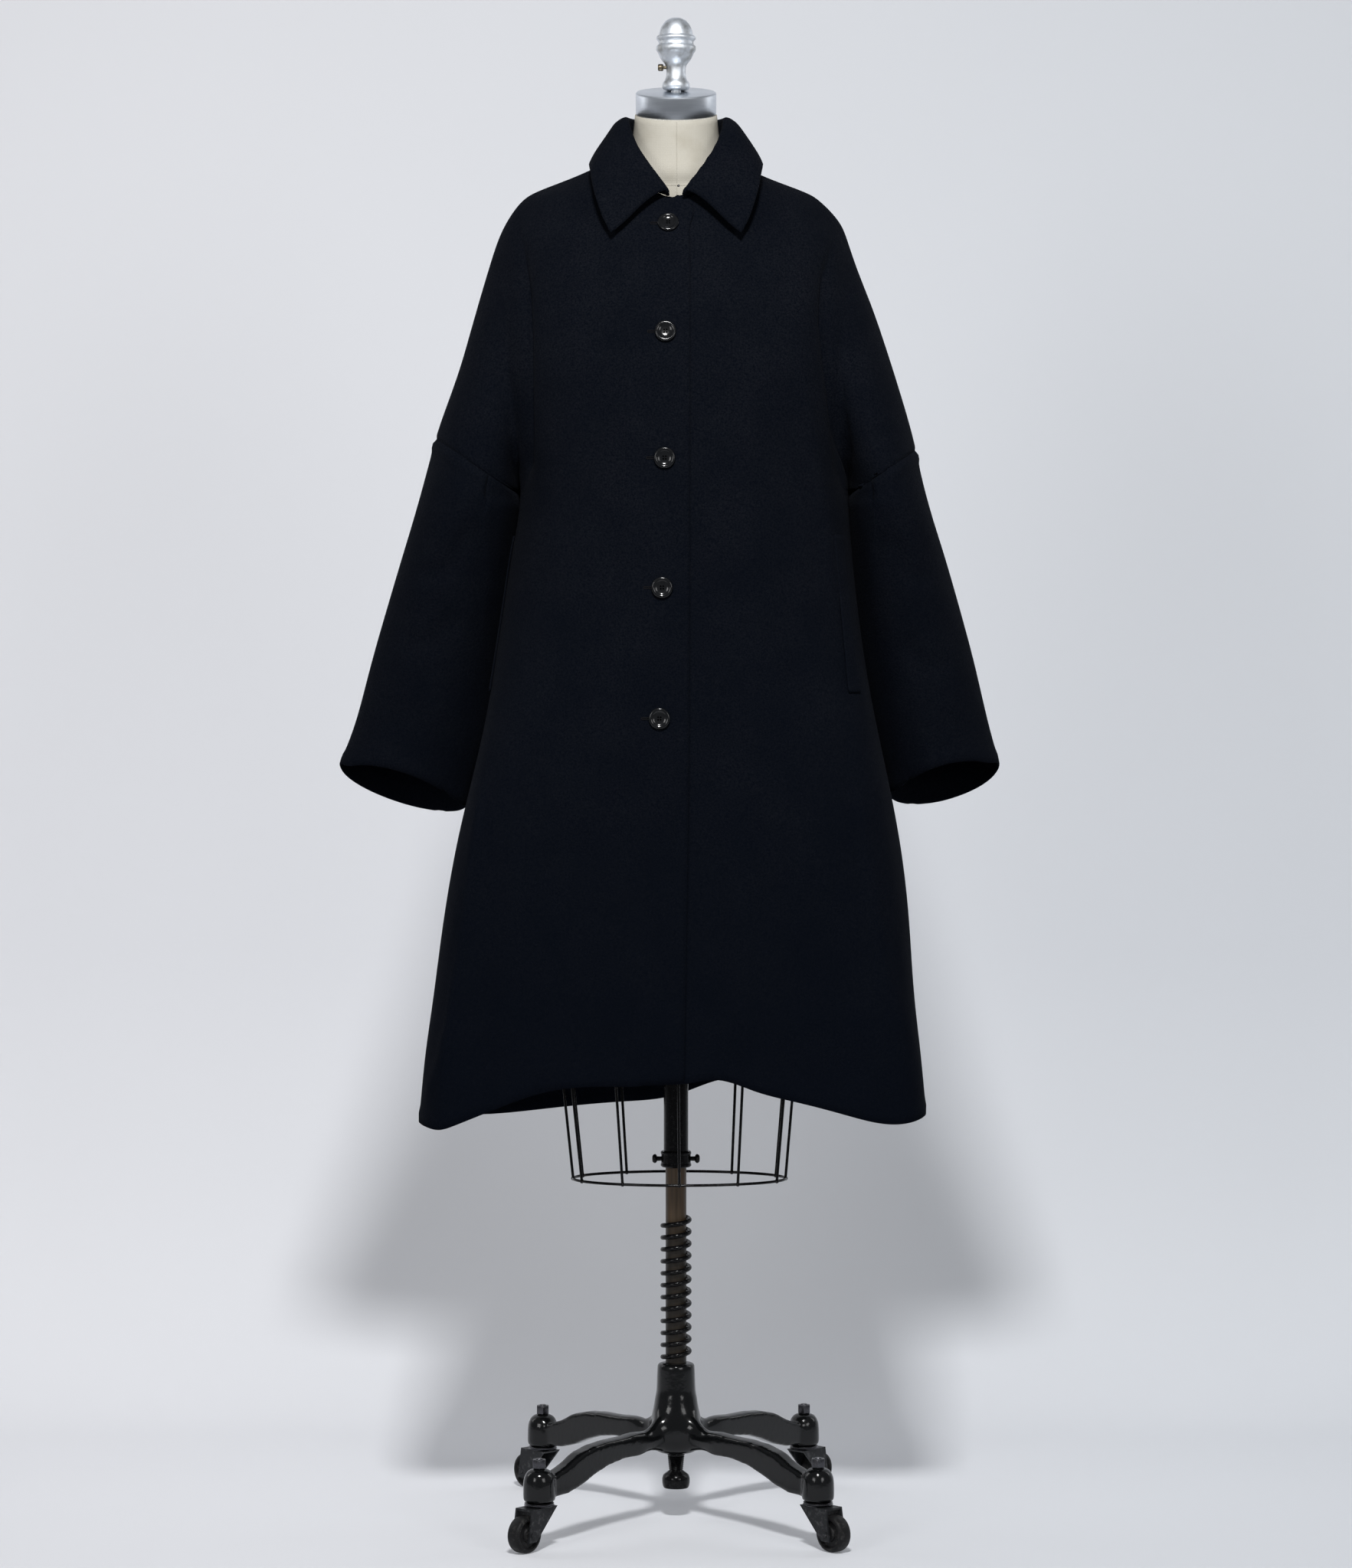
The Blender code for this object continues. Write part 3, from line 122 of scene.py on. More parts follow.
# Creases: the panels they cross, the side they are seen from, their line in x and z, their half-width
# and their rise, which is negative for a trough. A sharp one has a pointed bottom.
CREASES = (
    dict(on="front_right", way=FRONT_WAY,
         line=((-0.226, 0.93), (-0.247, 0.73), (-0.263, 0.64), (-0.279, 0.50)),
         half_width=0.006, rise=0.0030),
    dict(on="front_right", way=FRONT_WAY, line=((-0.268, 0.62), (-0.276, 0.575), (-0.294, 0.52)),
         half_width=0.006, rise=0.0022),
    dict(on="front_right", way=FRONT_WAY, line=((-0.200, 0.86), (-0.222, 0.70), (-0.238, 0.52)),
         half_width=0.022, rise=-0.0030),
    dict(on="front_right", way=FRONT_WAY, line=((-0.120, 1.47), (-0.135, 1.30), (-0.150, 1.10)),
         half_width=0.024, rise=0.0018),
    dict(on="front_right", way=FRONT_WAY, line=((-0.060, 1.08), (-0.075, 0.86), (-0.085, 0.58)),
         half_width=0.030, rise=0.0024),
    dict(on="front_right", way=FRONT_WAY, line=ARMHOLE_RIGHT, half_width=0.0060, rise=-0.0120, sharp=True),
    dict(on="front_right", way=FRONT_WAY, line=ARMHOLE_RIGHT, half_width=0.024, rise=-0.0030),
    dict(on="front_left", way=FRONT_WAY, line=ARMHOLE_LEFT, half_width=0.0060, rise=-0.0120, sharp=True),
    dict(on="front_left", way=FRONT_WAY, line=ARMHOLE_LEFT, half_width=0.024, rise=-0.0030),
    dict(on="front_left", way=FRONT_WAY,
         line=((0.203, 0.98), (0.217, 0.876), (0.233, 0.758), (0.249, 0.659), (0.284, 0.56)),
         half_width=0.010, rise=0.0026),
    dict(on="front_left", way=FRONT_WAY, line=((0.142, 1.43), (0.151, 1.355), (0.179, 1.19), (0.188, 1.08)),
         half_width=0.011, rise=0.0026),
    dict(on="front_left", way=FRONT_WAY, line=((0.110, 1.38), (0.130, 1.18), (0.150, 0.95)),
         half_width=0.026, rise=-0.0020),
    dict(on="front_left", way=FRONT_WAY, line=((0.066, 0.84), (0.072, 0.68), (0.070, 0.56)),
         half_width=0.020, rise=0.0030),
    dict(on="front_left", way=FRONT_WAY, line=((0.180, 0.80), (0.196, 0.66), (0.205, 0.52)),
         half_width=0.024, rise=-0.0026),
    dict(on="back", way=BACK_WAY, line=((-0.150, 1.36), (-0.168, 1.08), (-0.205, 0.72), (-0.220, 0.50)),
         half_width=0.015, rise=0.0036),
    dict(on="back", way=BACK_WAY, line=((-0.085, 1.02), (-0.098, 0.78), (-0.120, 0.50)),
         half_width=0.024, rise=-0.0034),
    dict(on="back", way=BACK_WAY, line=((0.020, 1.18), (0.030, 0.86), (0.046, 0.50)),
         half_width=0.016, rise=0.0030),
    dict(on="back", way=BACK_WAY, line=((0.105, 0.98), (0.120, 0.76), (0.128, 0.50)),
         half_width=0.026, rise=-0.0032),
    dict(on="back", way=BACK_WAY, line=((0.152, 1.38), (0.166, 1.05), (0.196, 0.74), (0.226, 0.50)),
         half_width=0.014, rise=0.0034),
    dict(on="back", way=BACK_WAY, line=((-0.060, 1.50), (0.000, 1.478), (0.064, 1.502)),
         half_width=0.018, rise=-0.0016),
    dict(on="sleeve_top_right", way=FRONT_WAY, line=((-0.236, 1.21), (-0.268, 1.15), (-0.312, 1.13)),
         half_width=0.012, rise=-0.0026),
    dict(on="sleeve_top_right", way=FRONT_WAY, line=((-0.252, 1.10), (-0.290, 1.06), (-0.330, 1.055)),
         half_width=0.015, rise=-0.0022),
    dict(on="sleeve_top_right", way=FRONT_WAY, line=((-0.275, 1.24), (-0.300, 1.12), (-0.335, 0.95)),
         half_width=0.018, rise=0.0020),
    dict(on="sleeve_top_right", way=BACK_WAY, line=((-0.230, 1.14), (-0.270, 1.08), (-0.330, 1.06)),
         half_width=0.014, rise=-0.0030),
    dict(on="sleeve_top_left", way=FRONT_WAY, line=((0.246, 1.20), (0.276, 1.14), (0.310, 1.13)),
         half_width=0.013, rise=-0.0024),
    dict(on="sleeve_top_left", way=FRONT_WAY, line=((0.262, 1.07), (0.296, 1.03), (0.336, 1.03)),
         half_width=0.014, rise=-0.0022),
    dict(on="sleeve_top_left", way=FRONT_WAY, line=((0.286, 1.22), (0.306, 1.10), (0.334, 0.95)),
         half_width=0.018, rise=0.0020),
    dict(on="sleeve_top_left", way=BACK_WAY, line=((0.240, 1.15), (0.276, 1.07), (0.330, 1.05)),
         half_width=0.014, rise=-0.0030),
)

# Placket: a soft ridge beside the lapped edge, where the facing ends
PLACKET_LINE = ((0.0050, 1.552), (0.0040, 1.00), (-0.0020, 0.56))

# Neck seams of the form
NECK_SEAM_FRONT = 1.600
NECK_SEAM_BACK = 1.632
NECK_SEAM_POINTS = 72


def linear(code):
    """An sRGB hex colour as linear red, green and blue."""
    channels = [int(code[i : i + 2], 16) / 255 for i in (1, 3, 5)]
    return tuple(c / 12.92 if c <= 0.04045 else ((c + 0.055) / 1.055) ** 2.4 for c in channels)


def paint(name, description, code):
    """A colour setting with a hex default."""
    return bpy.props.FloatVectorProperty(
        name=name, description=description, subtype="COLOR", size=3, min=0.0, max=1.0, default=linear(code)
    )


def length(name, description, default):
    """A length setting in metres."""
    return bpy.props.FloatProperty(
        name=name, description=description, subtype="DISTANCE", unit="LENGTH", min=0.0, precision=5,
        default=default
    )


class CoatLooks(bpy.types.PropertyGroup):
    """Settings of the cloth and its trim."""

    wool: paint("Wool", "Colour of the cloth", "#060910")
    wool_light: paint("Wool fibres", "Colour of the raised fibres", "#16181d")
    wall: length("Wall", "Thickness of the cloth", 0.0028)
    nap: length("Nap", "Size of the clumps of fibre", 0.0022)
    seam_depth: length("Seam depth", "How far a seam sinks into the cloth", 0.0016)
    seam_width: length("Seam width", "Half the width of a seam's furrow", 0.0032)
    edge_swell: length("Edge swell", "How far a turned edge stands out", 0.0011)
    unevenness: length("Unevenness", "How far the cloth wanders from its cut", 0.0011)
    horn: paint("Horn", "Colour of the buttons", "#08090b")


class FormLooks(bpy.types.PropertyGroup):
    """Settings of the dress form."""

    canvas: paint("Canvas", "Colour of the form's cover", "#b4b0a5")
    canvas_wall: length("Shell", "Thickness of the form's shell", 0.0060)
    wire: length("Wire", "Radius of the cage's wires", 0.0017)
    # Partly painted reflection: pale aluminium, tinted blue-grey as if mirroring a bluish studio.
    aluminium: paint("Aluminium", "Colour of the cap and the finial", "#dce1e7")
    brass: paint("Brass", "Colour of the finial's screw", "#6b6252")


class StandLooks(bpy.types.PropertyGroup):
    """Settings of the stand."""

    enamel: paint("Enamel", "Colour of the cast base", "#0a0b0c")
    worn: paint("Worn enamel", "Colour where the enamel is rubbed and dusty", "#2b2a2b")
    steel: paint("Black steel", "Colour of the painted steel", "#0a0a0b")
    wood: paint("Wood", "Colour of the pole", "#55432f")
    # Painted shade: up to this height the pole is darkened, as shade inside the spring.
    coil_shade_top: length("Shaded height", "Height up to which the pole is painted dark, as shade inside the spring", 0.365)
    plating: paint("Plating", "Colour of the nuts and races", "#505054")
    rubber: paint("Rubber", "Colour of the wheels", "#141415")
    grain: length("Casting grain", "Size of the casting's ripples", 0.0060)


class StageLooks(bpy.types.PropertyGroup):
    """Settings of the backdrop."""

    paper_painted_light_left: paint("Paper, left", "Colour of the backdrop on the left, painted lighter as where more light falls", "#e4e5e9")
    paper_painted_shade_right: paint("Paper, right", "Colour of the backdrop on the right, painted darker as where less light falls", "#d9dce1")


# Materials
WAVE_PER_BAND = 0.314  # a wave texture's scale for one band in each metre


def add_node(tree, kind, settings=None, inputs=None):
    """Adds a node with its settings. An input that is given a socket is linked to it."""
    made = tree.nodes.new(kind)
    for key, value in (settings or {}).items():
        setattr(made, key, value)
    for key, value in (inputs or {}).items():
        if isinstance(value, bpy.types.NodeSocket):
            tree.links.new(value, made.inputs[key])
        else:
            made.inputs[key].default_value = value
    return made


def new_material(name, **sockets):
    """A material with its shader's constant sockets set, and what its patterns start from."""
    made = bpy.data.materials.new(name)
    made.use_nodes = True
    tree = made.node_tree
    shader = tree.nodes["Principled BSDF"]
    for key, value in sockets.items():
        shader.inputs[key.replace("_", " ")].default_value = value
    place = add_node(tree, "ShaderNodeTexCoord").outputs["Object"]
    return made, tree, shader, place


def opaque(colour):
    return (*colour, 1.0)


def wool_material():
    """Thick felted wool, brushed to a nap: matt and near black, in clumps, with painted light that makes it
    paler towards the shoulders and painted shade that darkens it towards the hem.
    """
    looks = bpy.context.scene.coat_looks
    made, tree, shader, place = new_material(
        "felted_wool", Roughness=0.95, Specular_IOR_Level=0.012, Sheen_Weight=0.010, Sheen_Roughness=0.4,
        Sheen_Tint=opaque(linear("#c3c8d6"))
    )
    clumps = add_node(
        tree, "ShaderNodeTexNoise", None,
        {"Vector": place, "Scale": 1 / looks.nap, "Detail": 3.0, "Roughness": 0.65}
    )
    patches = add_node(tree, "ShaderNodeTexNoise", None, {"Vector": place, "Scale": 1 / 0.06, "Detail": 2.0})
    spread = add_node(
        tree, "ShaderNodeMapRange", None,
        {"Value": clumps.outputs["Fac"], "From Min": 0.32, "From Max": 0.70}
    )
    wander = add_node(
        tree, "ShaderNodeMath", {"operation": "MULTIPLY_ADD"},
        {0: patches.outputs["Fac"], 1: 0.7, 2: 0.15}
    )
    # Painted light and shade: the pale fibres' share grows towards the shoulders and shrinks towards the hem,
    # as where more or less light falls.
    height = add_node(tree, "ShaderNodeSeparateXYZ", None, {0: place})
    painted_height_light = add_node(
        tree, "ShaderNodeMapRange", None,
        {"Value": height.outputs["Z"], "From Min": 0.5, "From Max": 1.5, "To Min": 0.38, "To Max": 1.55}
    )
    # brushed holds the random patches together with that painted light and shade.
    brushed = add_node(
        tree, "ShaderNodeMath", {"operation": "MULTIPLY"},
        {0: wander.outputs[0], 1: painted_height_light.outputs["Result"]}
    )
    share = add_node(
        tree, "ShaderNodeMath", {"operation": "MULTIPLY"},
        {0: spread.outputs["Result"], 1: brushed.outputs[0]}
    )
    colour = add_node(
        tree, "ShaderNodeMix", {"data_type": "RGBA"},
        {0: share.outputs[0], 6: opaque(looks.wool), 7: opaque(looks.wool_light)}
    )
    fibres = add_node(
        tree, "ShaderNodeTexNoise", None,
        {"Vector": place, "Scale": 3 / looks.nap, "Detail": 2.0, "Roughness": 0.7}
    )
    pile = add_node(
        tree, "ShaderNodeMath", {"operation": "MULTIPLY_ADD"},
        {0: fibres.outputs["Fac"], 1: 0.5, 2: clumps.outputs["Fac"]}
    )
    bump = add_node(
        tree, "ShaderNodeBump", None, {"Height": pile.outputs[0], "Strength": 0.55, "Distance": 0.0014}
    )
    tree.links.new(colour.outputs[2], shader.inputs["Base Color"])
    tree.links.new(bump.outputs["Normal"], shader.inputs["Normal"])
    return made


def horn_material():
    """Polished dark horn: glossy, with faint cloudy streaks."""
    looks = bpy.context.scene.coat_looks
    made, tree, shader, place = new_material("polished_horn", IOR=1.54, Specular_IOR_Level=0.3)
    streaks = add_node(
        tree, "ShaderNodeTexNoise", None,
        {"Vector": place, "Scale": 1 / 0.004, "Detail": 3.0, "Distortion": 1.2}
    )
    colour = add_node(
        tree, "ShaderNodeMix", {"data_type": "RGBA"},
        {0: streaks.outputs["Fac"], 6: opaque(looks.horn), 7: opaque(linear("#141517"))}
    )
    gloss = add_node(
        tree, "ShaderNodeMapRange", None, {"Value": streaks.outputs["Fac"], "To Min": 0.09, "To Max": 0.18}
    )
    tree.links.new(colour.outputs[2], shader.inputs["Base Color"])
    tree.links.new(gloss.outputs["Result"], shader.inputs["Roughness"])
    return made


def thread_material():
    """Waxed black cotton thread, twisted: matt with a fine slanted ribbing."""
    made, tree, shader, place = new_material("cotton_thread", Roughness=0.85, Specular_IOR_Level=0.12)
    twist = add_node(
        tree, "ShaderNodeTexWave", {"bands_direction": "DIAGONAL"},
        {"Vector": place, "Scale": 1 / 0.002, "Distortion": 1.0}
    )
    colour = add_node(
        tree, "ShaderNodeMix", {"data_type": "RGBA"},
        {0: twist.outputs["Fac"], 6: opaque(linear("#08080a")), 7: opaque(linear("#131317"))}
    )
    bump = add_node(tree, "ShaderNodeBump", None, {"Height": twist.outputs["Fac"], "Distance": 0.0003})
    tree.links.new(colour.outputs[2], shader.inputs["Base Color"])
    tree.links.new(bump.outputs["Normal"], shader.inputs["Normal"])
    return made


def canvas_material():
    """Plain woven cotton canvas, a little soiled: matt cream. The weave is three times life size, to show."""
    looks = bpy.context.scene.form_looks
    made, tree, shader, place = new_material("cotton_canvas", Roughness=0.88, Specular_IOR_Level=0.25)
    thread = 0.0021
    threads = []
    for direction in ("X", "Z"):
        threads.append(
            add_node(
                tree, "ShaderNodeTexWave", {"bands_direction": direction},
                {
                    "Vector": place, "Scale": WAVE_PER_BAND / thread, "Distortion": 1.5, "Detail": 1.0,
                    "Detail Scale": 3.0
                }
            )
        )
    weave = add_node(
        tree, "ShaderNodeMath", {"operation": "MAXIMUM"},
        {0: threads[0].outputs["Fac"], 1: threads[1].outputs["Fac"]}
    )
    stains = add_node(tree, "ShaderNodeTexNoise", None, {"Vector": place, "Scale": 1 / 0.03, "Detail": 4.0})
    soil = add_node(
        tree, "ShaderNodeMapRange", None,
        {"Value": stains.outputs["Fac"], "From Min": 0.45, "From Max": 0.75, "To Max": 0.45}
    )
    colour = add_node(
        tree, "ShaderNodeMix", {"data_type": "RGBA"},
        {0: soil.outputs["Result"], 6: opaque(looks.canvas), 7: opaque(linear("#979080"))}
    )
    bump = add_node(
        tree, "ShaderNodeBump", None, {"Height": weave.outputs[0], "Strength": 0.35, "Distance": 0.0004}
    )
    tree.links.new(colour.outputs[2], shader.inputs["Base Color"])
    tree.links.new(bump.outputs["Normal"], shader.inputs["Normal"])
    return made


def brushed_material():
    """Aluminium brushed around its rim: fine level lines that spread the highlight."""
    looks = bpy.context.scene.form_looks
    made, tree, shader, place = new_material("brushed_aluminium", Metallic=1.0, Anisotropic=0.5)
    level = add_node(
        tree, "ShaderNodeMapping", None,
        {"Vector": place, "Rotation": (-CAP_TILT, 0.0, 0.0), "Scale": (1.0, 1.0, 60.0)}
    )
    lines = add_node(
        tree, "ShaderNodeTexNoise", None, {"Vector": level.outputs["Vector"], "Scale": 14.0, "Detail": 4.0}
    )
    # Both tones are blue-grey: the metal's own pale grey with a painted reflection of a bluish studio.
    colour = add_node(
        tree, "ShaderNodeMix", {"data_type": "RGBA"},
        {0: lines.outputs["Fac"], 6: opaque(linear("#c4cad2")), 7: opaque(looks.aluminium)}
    )
    gloss = add_node(
        tree, "ShaderNodeMapRange", None, {"Value": lines.outputs["Fac"], "To Min": 0.26, "To Max": 0.44}
    )
    bump = add_node(
        tree, "ShaderNodeBump", None, {"Height": lines.outputs["Fac"], "Strength": 0.25, "Distance": 0.0003}
    )
    tree.links.new(colour.outputs[2], shader.inputs["Base Color"])
    tree.links.new(gloss.outputs["Result"], shader.inputs["Roughness"])
    tree.links.new(bump.outputs["Normal"], shader.inputs["Normal"])
    return made


def cast_material(name, light, dark, grit, low, high):
    """Cast metal, turned and worn to satin: fine pits, with darker grime in patches."""
    made, tree, shader, place = new_material(name, Metallic=1.0)
    pits = add_node(tree, "ShaderNodeTexNoise", None, {"Vector": place, "Scale": 1 / grit, "Detail": 5.0})
    grime = add_node(tree, "ShaderNodeTexNoise", None, {"Vector": place, "Scale": 0.12 / grit, "Detail": 3.0})
    share = add_node(
        tree, "ShaderNodeMapRange", None,
        {"Value": grime.outputs["Fac"], "From Min": 0.45, "From Max": 0.72, "To Max": 0.7}
    )
    colour = add_node(
        tree, "ShaderNodeMix", {"data_type": "RGBA"},
        {0: share.outputs["Result"], 6: opaque(light), 7: opaque(dark)}
    )
    gloss = add_node(
        tree, "ShaderNodeMapRange", None, {"Value": pits.outputs["Fac"], "To Min": low, "To Max": high}
    )
    bump = add_node(
        tree, "ShaderNodeBump", None, {"Height": pits.outputs["Fac"], "Strength": 0.3, "Distance": 0.0005}
    )
    tree.links.new(colour.outputs[2], shader.inputs["Base Color"])
    tree.links.new(gloss.outputs["Result"], shader.inputs["Roughness"])
    tree.links.new(bump.outputs["Normal"], shader.inputs["Normal"])
    return made


def enamel_material():
    """Stoved black enamel on cast iron: glossy over a rippled casting, rubbed and dusty in patches."""
    looks = bpy.context.scene.stand_looks
    made, tree, shader, place = new_material("black_enamel_on_iron", IOR=1.5, Specular_IOR_Level=0.3)
    ripples = add_node(
        tree, "ShaderNodeTexNoise", None, {"Vector": place, "Scale": 1 / looks.grain, "Detail": 4.0}
    )
    rubs = add_node(
        tree, "ShaderNodeTexNoise", None,
        {"Vector": place, "Scale": 0.22 / looks.grain, "Detail": 6.0, "Roughness": 0.7}
    )
    worn = add_node(
        tree, "ShaderNodeMapRange", None,
        {"Value": rubs.outputs["Fac"], "From Min": 0.58, "From Max": 0.76, "To Max": 0.4}
    )
    colour = add_node(
        tree, "ShaderNodeMix", {"data_type": "RGBA"},
        {0: worn.outputs["Result"], 6: opaque(looks.enamel), 7: opaque(looks.worn)}
    )
    gloss = add_node(
        tree, "ShaderNodeMapRange", None, {"Value": worn.outputs["Result"], "To Min": 0.14, "To Max": 0.45}
    )
    bump = add_node(
        tree, "ShaderNodeBump", None, {"Height": ripples.outputs["Fac"], "Strength": 0.22, "Distance": 0.0010}
    )
    tree.links.new(colour.outputs[2], shader.inputs["Base Color"])
    tree.links.new(gloss.outputs["Result"], shader.inputs["Roughness"])
    tree.links.new(bump.outputs["Normal"], shader.inputs["Normal"])
    return made


def paint_material(name, colour, scuffed, low, high, size):
    """A dark coat on a hard piece, such as paint or rubber: fairly glossy, with small dull scuffs."""
    made, tree, shader, place = new_material(name, IOR=1.5, Specular_IOR_Level=0.14)
    scuffs = add_node(
        tree, "ShaderNodeTexNoise", None,
        {"Vector": place, "Scale": 1 / size, "Detail": 5.0, "Roughness": 0.65}
    )
    share = add_node(
        tree, "ShaderNodeMapRange", None, {"Value": scuffs.outputs["Fac"], "From Min": 0.52, "From Max": 0.75}
    )
    mixed = add_node(
        tree, "ShaderNodeMix", {"data_type": "RGBA"},
        {0: share.outputs["Result"], 6: opaque(colour), 7: opaque(scuffed)}
    )
    gloss = add_node(
        tree, "ShaderNodeMapRange", None, {"Value": share.outputs["Result"], "To Min": low, "To Max": high}
    )
    bump = add_node(
        tree, "ShaderNodeBump", None, {"Height": scuffs.outputs["Fac"], "Strength": 0.12, "Distance": 0.0004}
    )
    tree.links.new(mixed.outputs[2], shader.inputs["Base Color"])
    tree.links.new(gloss.outputs["Result"], shader.inputs["Roughness"])
    tree.links.new(bump.outputs["Normal"], shader.inputs["Normal"])
    return made


def wood_material():
    """Dark stained wood: long streaks of grain, with painted shade that turns it near black inside the
    spring.
    """
    looks = bpy.context.scene.stand_looks
    made, tree, shader, place = new_material("stained_wood", IOR=1.5, Specular_IOR_Level=0.3)
    along = add_node(tree, "ShaderNodeMapping", None, {"Vector": place, "Scale": (1.0, 1.0, 0.06)})
    grain = add_node(
        tree, "ShaderNodeTexNoise", None,
        {"Vector": along.outputs["Vector"], "Scale": 1 / 0.0045, "Detail": 4.0, "Distortion": 0.6}
    )
    height = add_node(tree, "ShaderNodeSeparateXYZ", None, {0: place})
    # rubbed holds the painted shade inside the spring: below its top the pale streaks are mostly taken out.
    rubbed = add_node(
        tree, "ShaderNodeMapRange", None,
        {
            "Value": height.outputs["Z"], "From Min": looks.coil_shade_top - 0.03, "From Max": looks.coil_shade_top,
            "To Min": 0.12
        }
    )
    share = add_node(
        tree, "ShaderNodeMath", {"operation": "MULTIPLY"},
        {0: grain.outputs["Fac"], 1: rubbed.outputs["Result"]}
    )
    colour = add_node(
        tree, "ShaderNodeMix", {"data_type": "RGBA"},
        {0: share.outputs[0], 6: opaque(linear("#15120d")), 7: opaque(looks.wood)}
    )
    gloss = add_node(
        tree, "ShaderNodeMapRange", None, {"Value": grain.outputs["Fac"], "To Min": 0.35, "To Max": 0.6}
    )
    bump = add_node(
        tree, "ShaderNodeBump", None, {"Height": grain.outputs["Fac"], "Strength": 0.2, "Distance": 0.0005}
    )
    tree.links.new(colour.outputs[2], shader.inputs["Base Color"])
    tree.links.new(gloss.outputs["Result"], shader.inputs["Roughness"])
    tree.links.new(bump.outputs["Normal"], shader.inputs["Normal"])
    return made


MAKERS = {
    "wool": wool_material,
    "horn": horn_material,
    "thread": thread_material,
    "canvas": canvas_material,
    "brushed": brushed_material,
    "cast": lambda: cast_material(
        "cast_aluminium", bpy.context.scene.form_looks.aluminium, linear("#85847f"), 0.0016, 0.38, 0.62
    ),
    "brass": lambda: cast_material(
        "dull_brass", bpy.context.scene.form_looks.brass, linear("#33302a"), 0.0010, 0.30, 0.50
    ),
    "plating": lambda: cast_material(
        "dark_plating", bpy.context.scene.stand_looks.plating, linear("#3b3a3b"), 0.0014, 0.18, 0.40
    ),
    "enamel": enamel_material,
    "steel": lambda: paint_material(
        "black_painted_steel", bpy.context.scene.stand_looks.steel, linear("#1c1c1d"), 0.16, 0.38, 0.004
    ),
    "worn_steel": lambda: paint_material(
        "worn_black_steel", linear("#1e1f21"), linear("#4a4a4c"), 0.30, 0.55, 0.006
    ),
    "rubber": lambda: paint_material(
        "black_rubber", bpy.context.scene.stand_looks.rubber, linear("#3a3938"), 0.48, 0.75, 0.005
    ),
    "wood": wood_material,
}
FINISHES = {}


def finish(name):
    """A finish by its short name, made once."""
    if name not in FINISHES:
        FINISHES[name] = MAKERS[name]()
    return FINISHES[name]


# Shared ways of making pieces


def smooth(start, end, value):
    """0 before start, 1 after end, and a smooth step between them."""
    t = np.clip((value - start) / (end - start), 0.0, 1.0)
    return t * t * (3 - 2 * t)


def add_piece(name, mesh, look, body, slot, *nodes, sharp=SHARP_ANGLE):
    """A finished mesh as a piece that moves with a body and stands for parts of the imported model."""
    piece = bpy.data.objects.new(name, mesh)
    bpy.context.scene.collection.objects.link(piece)
    mesh.materials.clear()
    mesh.materials.append(finish(look))
    mesh.shade_smooth()
    mesh.set_sharp_from_angle(angle=sharp)
    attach(piece, body)
    if nodes:
        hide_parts(*nodes)
    return piece


def mesh_from(made, name):
    """A bmesh as a mesh. The bmesh is freed."""
    mesh = bpy.data.meshes.new(name)
    made.to_mesh(mesh)
    made.free()
    for attribute in ("custom_normal", "sharp_face"):
        if attribute in mesh.attributes:
            mesh.attributes.remove(mesh.attributes[attribute])
    return mesh


def merged_copy(node):
    """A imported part's mesh as a bmesh with its doubles merged."""
    made = bmesh.new()
    made.from_mesh(NODES[node].data)
    bmesh.ops.remove_doubles(made, verts=made.verts, dist=MERGE)
    return made


def applied(mesh, *modifiers):
    """A mesh with modifiers applied: each is a kind and its settings."""
    holder = bpy.data.objects.new("holder", mesh)
    bpy.context.scene.collection.objects.link(holder)
    for kind, settings in modifiers:
        added = holder.modifiers.new(kind.lower(), kind)
        for key, value in settings.items():
            setattr(added, key, value)
    graph = bpy.context.evaluated_depsgraph_get()
    result = bpy.data.meshes.new_from_object(holder.evaluated_get(graph), depsgraph=graph)
    bpy.data.objects.remove(holder)
    return result


def bevelled(piece, width, segments=2, angle=math.radians(32)):
    """Rounds a piece's sharp edges."""
    edge = piece.modifiers.new("edges", "BEVEL")
    edge.width = width
    edge.segments = segments
    edge.limit_method = "ANGLE"
    edge.angle_limit = angle
    edge.harden_normals = False
    return piece


def turned(profile, steps, matrix=Matrix(), ring=False):
    """A profile of radius and height, turned about the Z axis with the spin operator and put in place."""
    made = bmesh.new()
    verts = [made.verts.new((radius, 0.0, height)) for radius, height in profile]
    edges = [made.edges.new(pair) for pair in zip(verts, verts[1:])]
    if ring:
        edges.append(made.edges.new((verts[-1], verts[0])))
    bmesh.ops.spin(
        made, geom=verts + edges, cent=(0, 0, 0), axis=(0, 0, 1), angle=2 * math.pi, steps=steps,
        use_merge=True
    )
    bmesh.ops.remove_doubles(made, verts=made.verts, dist=MERGE)
    bmesh.ops.recalc_face_normals(made, faces=made.faces)
    bmesh.ops.transform(made, matrix=matrix, verts=made.verts)
    return made


def towards(axis):
    """Turns the Z axis to an axis."""
    return Vector((0.0, 0.0, 1.0)).rotation_difference(Vector(axis)).to_matrix().to_4x4()


